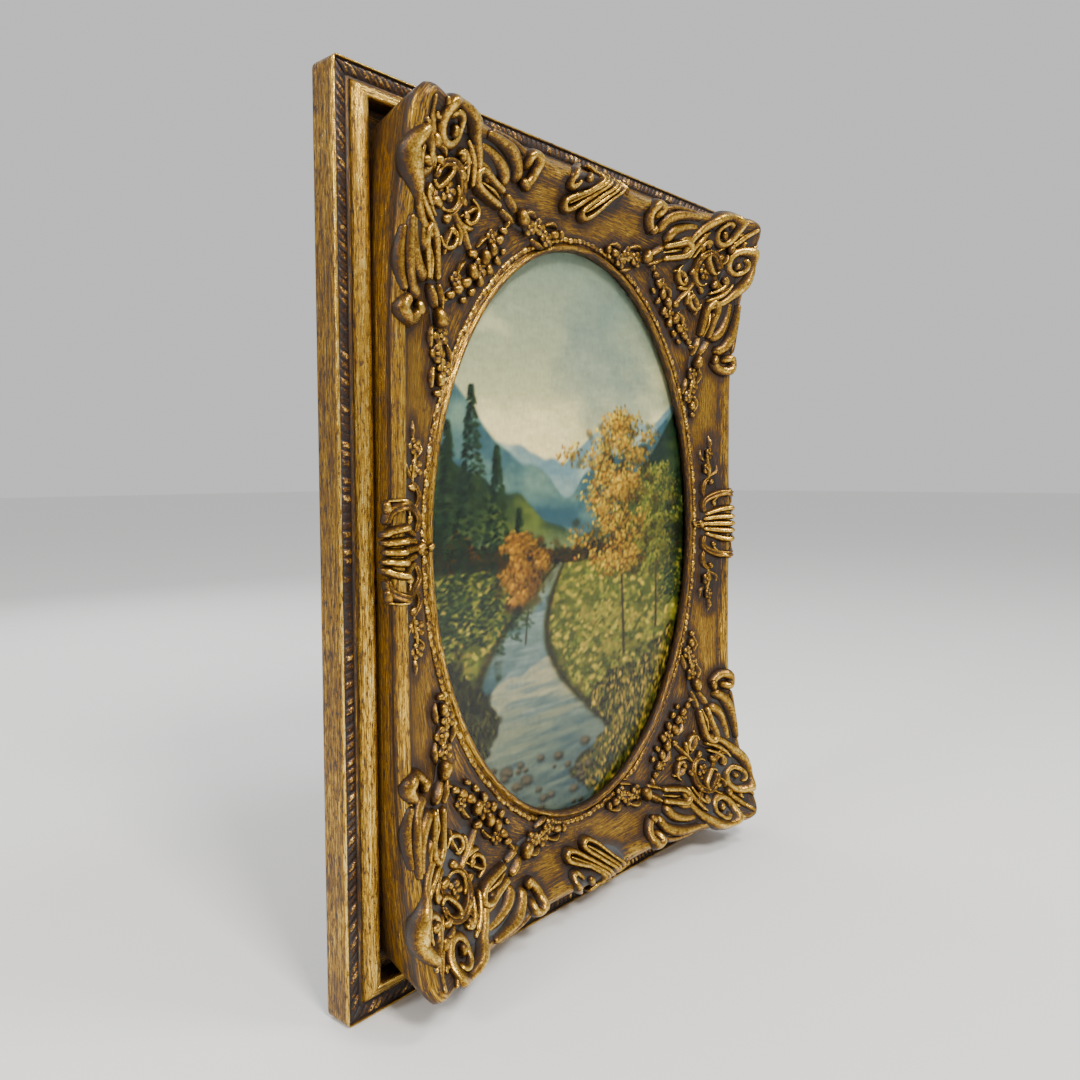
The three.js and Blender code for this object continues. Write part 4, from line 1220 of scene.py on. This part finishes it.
def add_painting(material):
    """The oval panel: a fine painted front, its edge and a plain back."""
    columns, rows = PANEL_COLUMNS, PANEL_ROWS
    half_x, half_z = np.array(HALF_SIGHT) + RABBET - EDGE_GAP
    a, b = np.meshgrid(np.linspace(-1, 1, columns), np.linspace(-1, 1, rows))
    x = half_x * a * np.sqrt(1 - b ** 2 / 2)
    z = half_z * b * np.sqrt(1 - a ** 2 / 2)
    image = paint_picture()
    colour = sampled(image, 0.5 + x / half_x / 2, 0.5 + z / half_z / 2)
    light = colour.mean(axis=-1)
    soft = (np.roll(light, 1, 0) + np.roll(light, -1, 0) + np.roll(light, 1, 1) + np.roll(light, -1, 1)) / 4
    touch = np.clip((light - soft) * TOUCH_RELIEF, -TOUCH_LIMIT, TOUCH_LIMIT)
    depth = PICTURE_DEPTH - PAINT_GAP + touch
    edge = np.concatenate([np.arange(columns), np.arange(1, rows) * columns + columns - 1,
                           (rows - 1) * columns + np.arange(columns - 2, -1, -1),
                           np.arange(rows - 2, 0, -1) * columns])
    top = joined(x, depth, z)
    skirt = top[edge].copy()
    skirt[:, 1] = FRONT_BASE
    points = np.vstack([top, skirt, [[0, FRONT_BASE, 0]]])
    count = len(edge)
    start = len(top)
    ring = np.arange(count)
    following = (ring + 1) % count
    surface = grid_faces(rows, columns)
    side = np.stack([edge[following], edge[ring], start + ring, start + following], axis=1)
    back = np.stack([start + following, start + ring, np.full(count, start + count)], axis=1)
    linear = np.vstack([colour.reshape(-1, 3), np.full((count + 1, 3), 0.25)]) ** 2.2
    add_mesh("painted_panel", points, [surface, side, back], material,
             ["painting"], colour=linear)


def add_glass(material):
    """The dome: down its front in rings, round the edge and up its back."""
    stations = 128
    angle = even_shares(stations) * 2 * np.pi
    shares = np.array([1, 0.97, 0.92, 0.85, 0.76, 0.66, 0.55, 0.43, 0.31, 0.19, 0.08])
    back_edge = GLASS_EDGE - GLASS_THICKNESS

    def oval_ring(offset, depth, share=1.0):
        x, z = oval(angle, offset)
        return np.stack([x * share, np.full(stations, depth), z * share], axis=1)

    rings = [oval_ring(0, GLASS_EDGE + GLASS_RISE * (1 - s ** 2), s) for s in shares[::-1]]
    rings += [oval_ring(RABBET - EDGE_GAP, depth) for depth in (GLASS_EDGE, back_edge)]
    rings += [oval_ring(0, back_edge + GLASS_RISE * (1 - s ** 2), s) for s in shares]
    points = np.vstack(rings)
    add_mesh("convex_glass", points, sweep_faces(points, len(rings), stations), material,
             ["domed_glass"])


# Camera, lights and floor

# The photo's own camera, worked out from its perspective: pixels, degrees and metres
PHOTO_SIZE = 1080
SENSOR = 36
FOCAL_PIXELS = 906.06
PHOTO_CENTRE = (542.99, 518.02)
CAMERA_ANGLES = (-48.98, 2.805, -0.287)
CAMERA_PLACE = (-0.43573, -0.36784, -0.17496)


def place_camera():
    azimuth, elevation, roll = (math.radians(a) for a in CAMERA_ANGLES)
    level = math.cos(elevation)
    back = Vector((math.sin(azimuth) * level, -math.cos(azimuth) * level, math.sin(elevation)))
    right = (-back).cross(Vector((0, 0, 1))).normalized()
    up = right.cross(-back)
    turned_right = right * math.cos(roll) + up * math.sin(roll)
    turned_up = -right * math.sin(roll) + up * math.cos(roll)
    basis = Matrix((turned_right, turned_up, back)).transposed().to_4x4()
    data = bpy.data.cameras.new("camera")
    data.sensor_width = SENSOR
    data.lens = FOCAL_PIXELS / PHOTO_SIZE * SENSOR
    data.shift_x = (PHOTO_SIZE / 2 - PHOTO_CENTRE[0]) / PHOTO_SIZE
    data.shift_y = (PHOTO_CENTRE[1] - PHOTO_SIZE / 2) / PHOTO_SIZE
    data.clip_start = 0.01
    camera = link_object("camera", data)
    camera.matrix_world = Matrix.Translation(CAMERA_PLACE) @ basis
    bpy.context.scene.camera = camera


def add_light(name, location, size, power, colour=(1, 1, 1)):
    data = bpy.data.lights.new(name, "AREA")
    data.size = size
    data.energy = power
    data.color = colour
    light = link_object(name, data)
    light.location = location
    aim = Vector((0, 0, -0.2)) - Vector(location)
    light.rotation_euler = aim.to_track_quat("-Z", "Y").to_euler()


def add_floor(reach=12.0):
    height = (-CENTRE_DROP - HALF_OUTER[1]) / 1000
    mesh = bpy.data.meshes.new("floor")
    corners = [(x * reach, y * reach, height) for x, y in ((-1, -1), (1, -1), (1, 1), (-1, 1))]
    mesh.from_pydata(corners, [], [(0, 1, 2, 3)])
    s = Shader("floor_pale")
    s.main.inputs["Base Color"].default_value = (0.86, 0.86, 0.85, 1)
    s.main.inputs["Roughness"].default_value = 0.9
    mesh.materials.append(s.material)
    link_object("floor", mesh)


def add_world():
    world = bpy.data.worlds.new("studio")
    world.use_nodes = True
    background = world.node_tree.nodes["Background"]
    background.inputs["Color"].default_value = (1.0, 1.0, 1.0, 1)
    background.inputs["Strength"].default_value = 0.72
    bpy.context.scene.world = world


# The whole scene

place_camera()
add_world()
add_floor()
add_light("key", (-0.45, -1.15, 0.85), 0.35, 26, (1.0, 0.96, 0.90))
add_light("left", (-1.4, 0.1, 0.5), 0.3, 9, (1.0, 0.98, 0.95))
add_light("above", (0.5, -0.9, 1.3), 0.4, 14)
add_light("behind", (0.2, 1.4, 0.5), 0.8, 8)

frame_gold = gilding("frame_gold", RAIL_TONES)
rail_gold = gilding("rail_gold", RAIL_TONES)
cast_gold = gilding("cast_gold", CAST_TONES, streaks=False, wash=0.8, contrast=0.88, flecks=0.15,
                     grain=0.5)
sight_gold = gilding("sight_gold", RAIL_TONES, streaks=False, contrast=0.9, flecks=0.3)
bead_gold = gilding("bead_gold", BEAD_TONES, streaks=False, contrast=0.9, flecks=0.3)

carved = []
for kind, carving, places in (
        ("corner", carve_corner(), (("top_left", -1, 1), ("top_right", 1, 1), ("bottom_left", -1, -1),
                                    ("bottom_right", 1, -1))),
        ("side", carve_side(), (("left", -1, 1), ("right", 1, 1))),
        ("crest", carve_crest(), (("top", 1, 1), ("bottom", 1, -1)))):
    for name, *signs in places:
        carved.append(add_casting(f"{kind}_carving_{name}", f"{kind}_ornament_{name}", carving, signs,
                                  cast_gold))

add_front_frame(frame_gold, np.vstack(carved)[::3])
add_sight_beads(sight_gold)
for name, along_x, sign in (("top", True, 1), ("bottom", True, -1), ("left", False, -1),
                            ("right", False, 1)):
    rail = add_back_rail(f"outer_moulding_{name}", f"back_rail_{name}", along_x, sign, rail_gold, bead_gold)
    if name == "top":
        cut_pocket(rail)

add_painting(oil_paint())
add_glass(clear_glass())

board = plain("hardboard_brown", ((0.10, 0.055, 0.025), (0.20, 0.12, 0.06)), 400.0, 0.8)
steel = plain("steel_zinc", ((0.42, 0.41, 0.38), (0.66, 0.65, 0.60)), 900.0, 0.34, 1.0, (1, 1, 0.1))
for node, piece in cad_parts.items():
    if node == "backing_board" or node.startswith(("retaining", "sawtooth", "hanger")):
        piece.data.materials.clear()
        piece.data.materials.append(board if node == "backing_board" else steel)
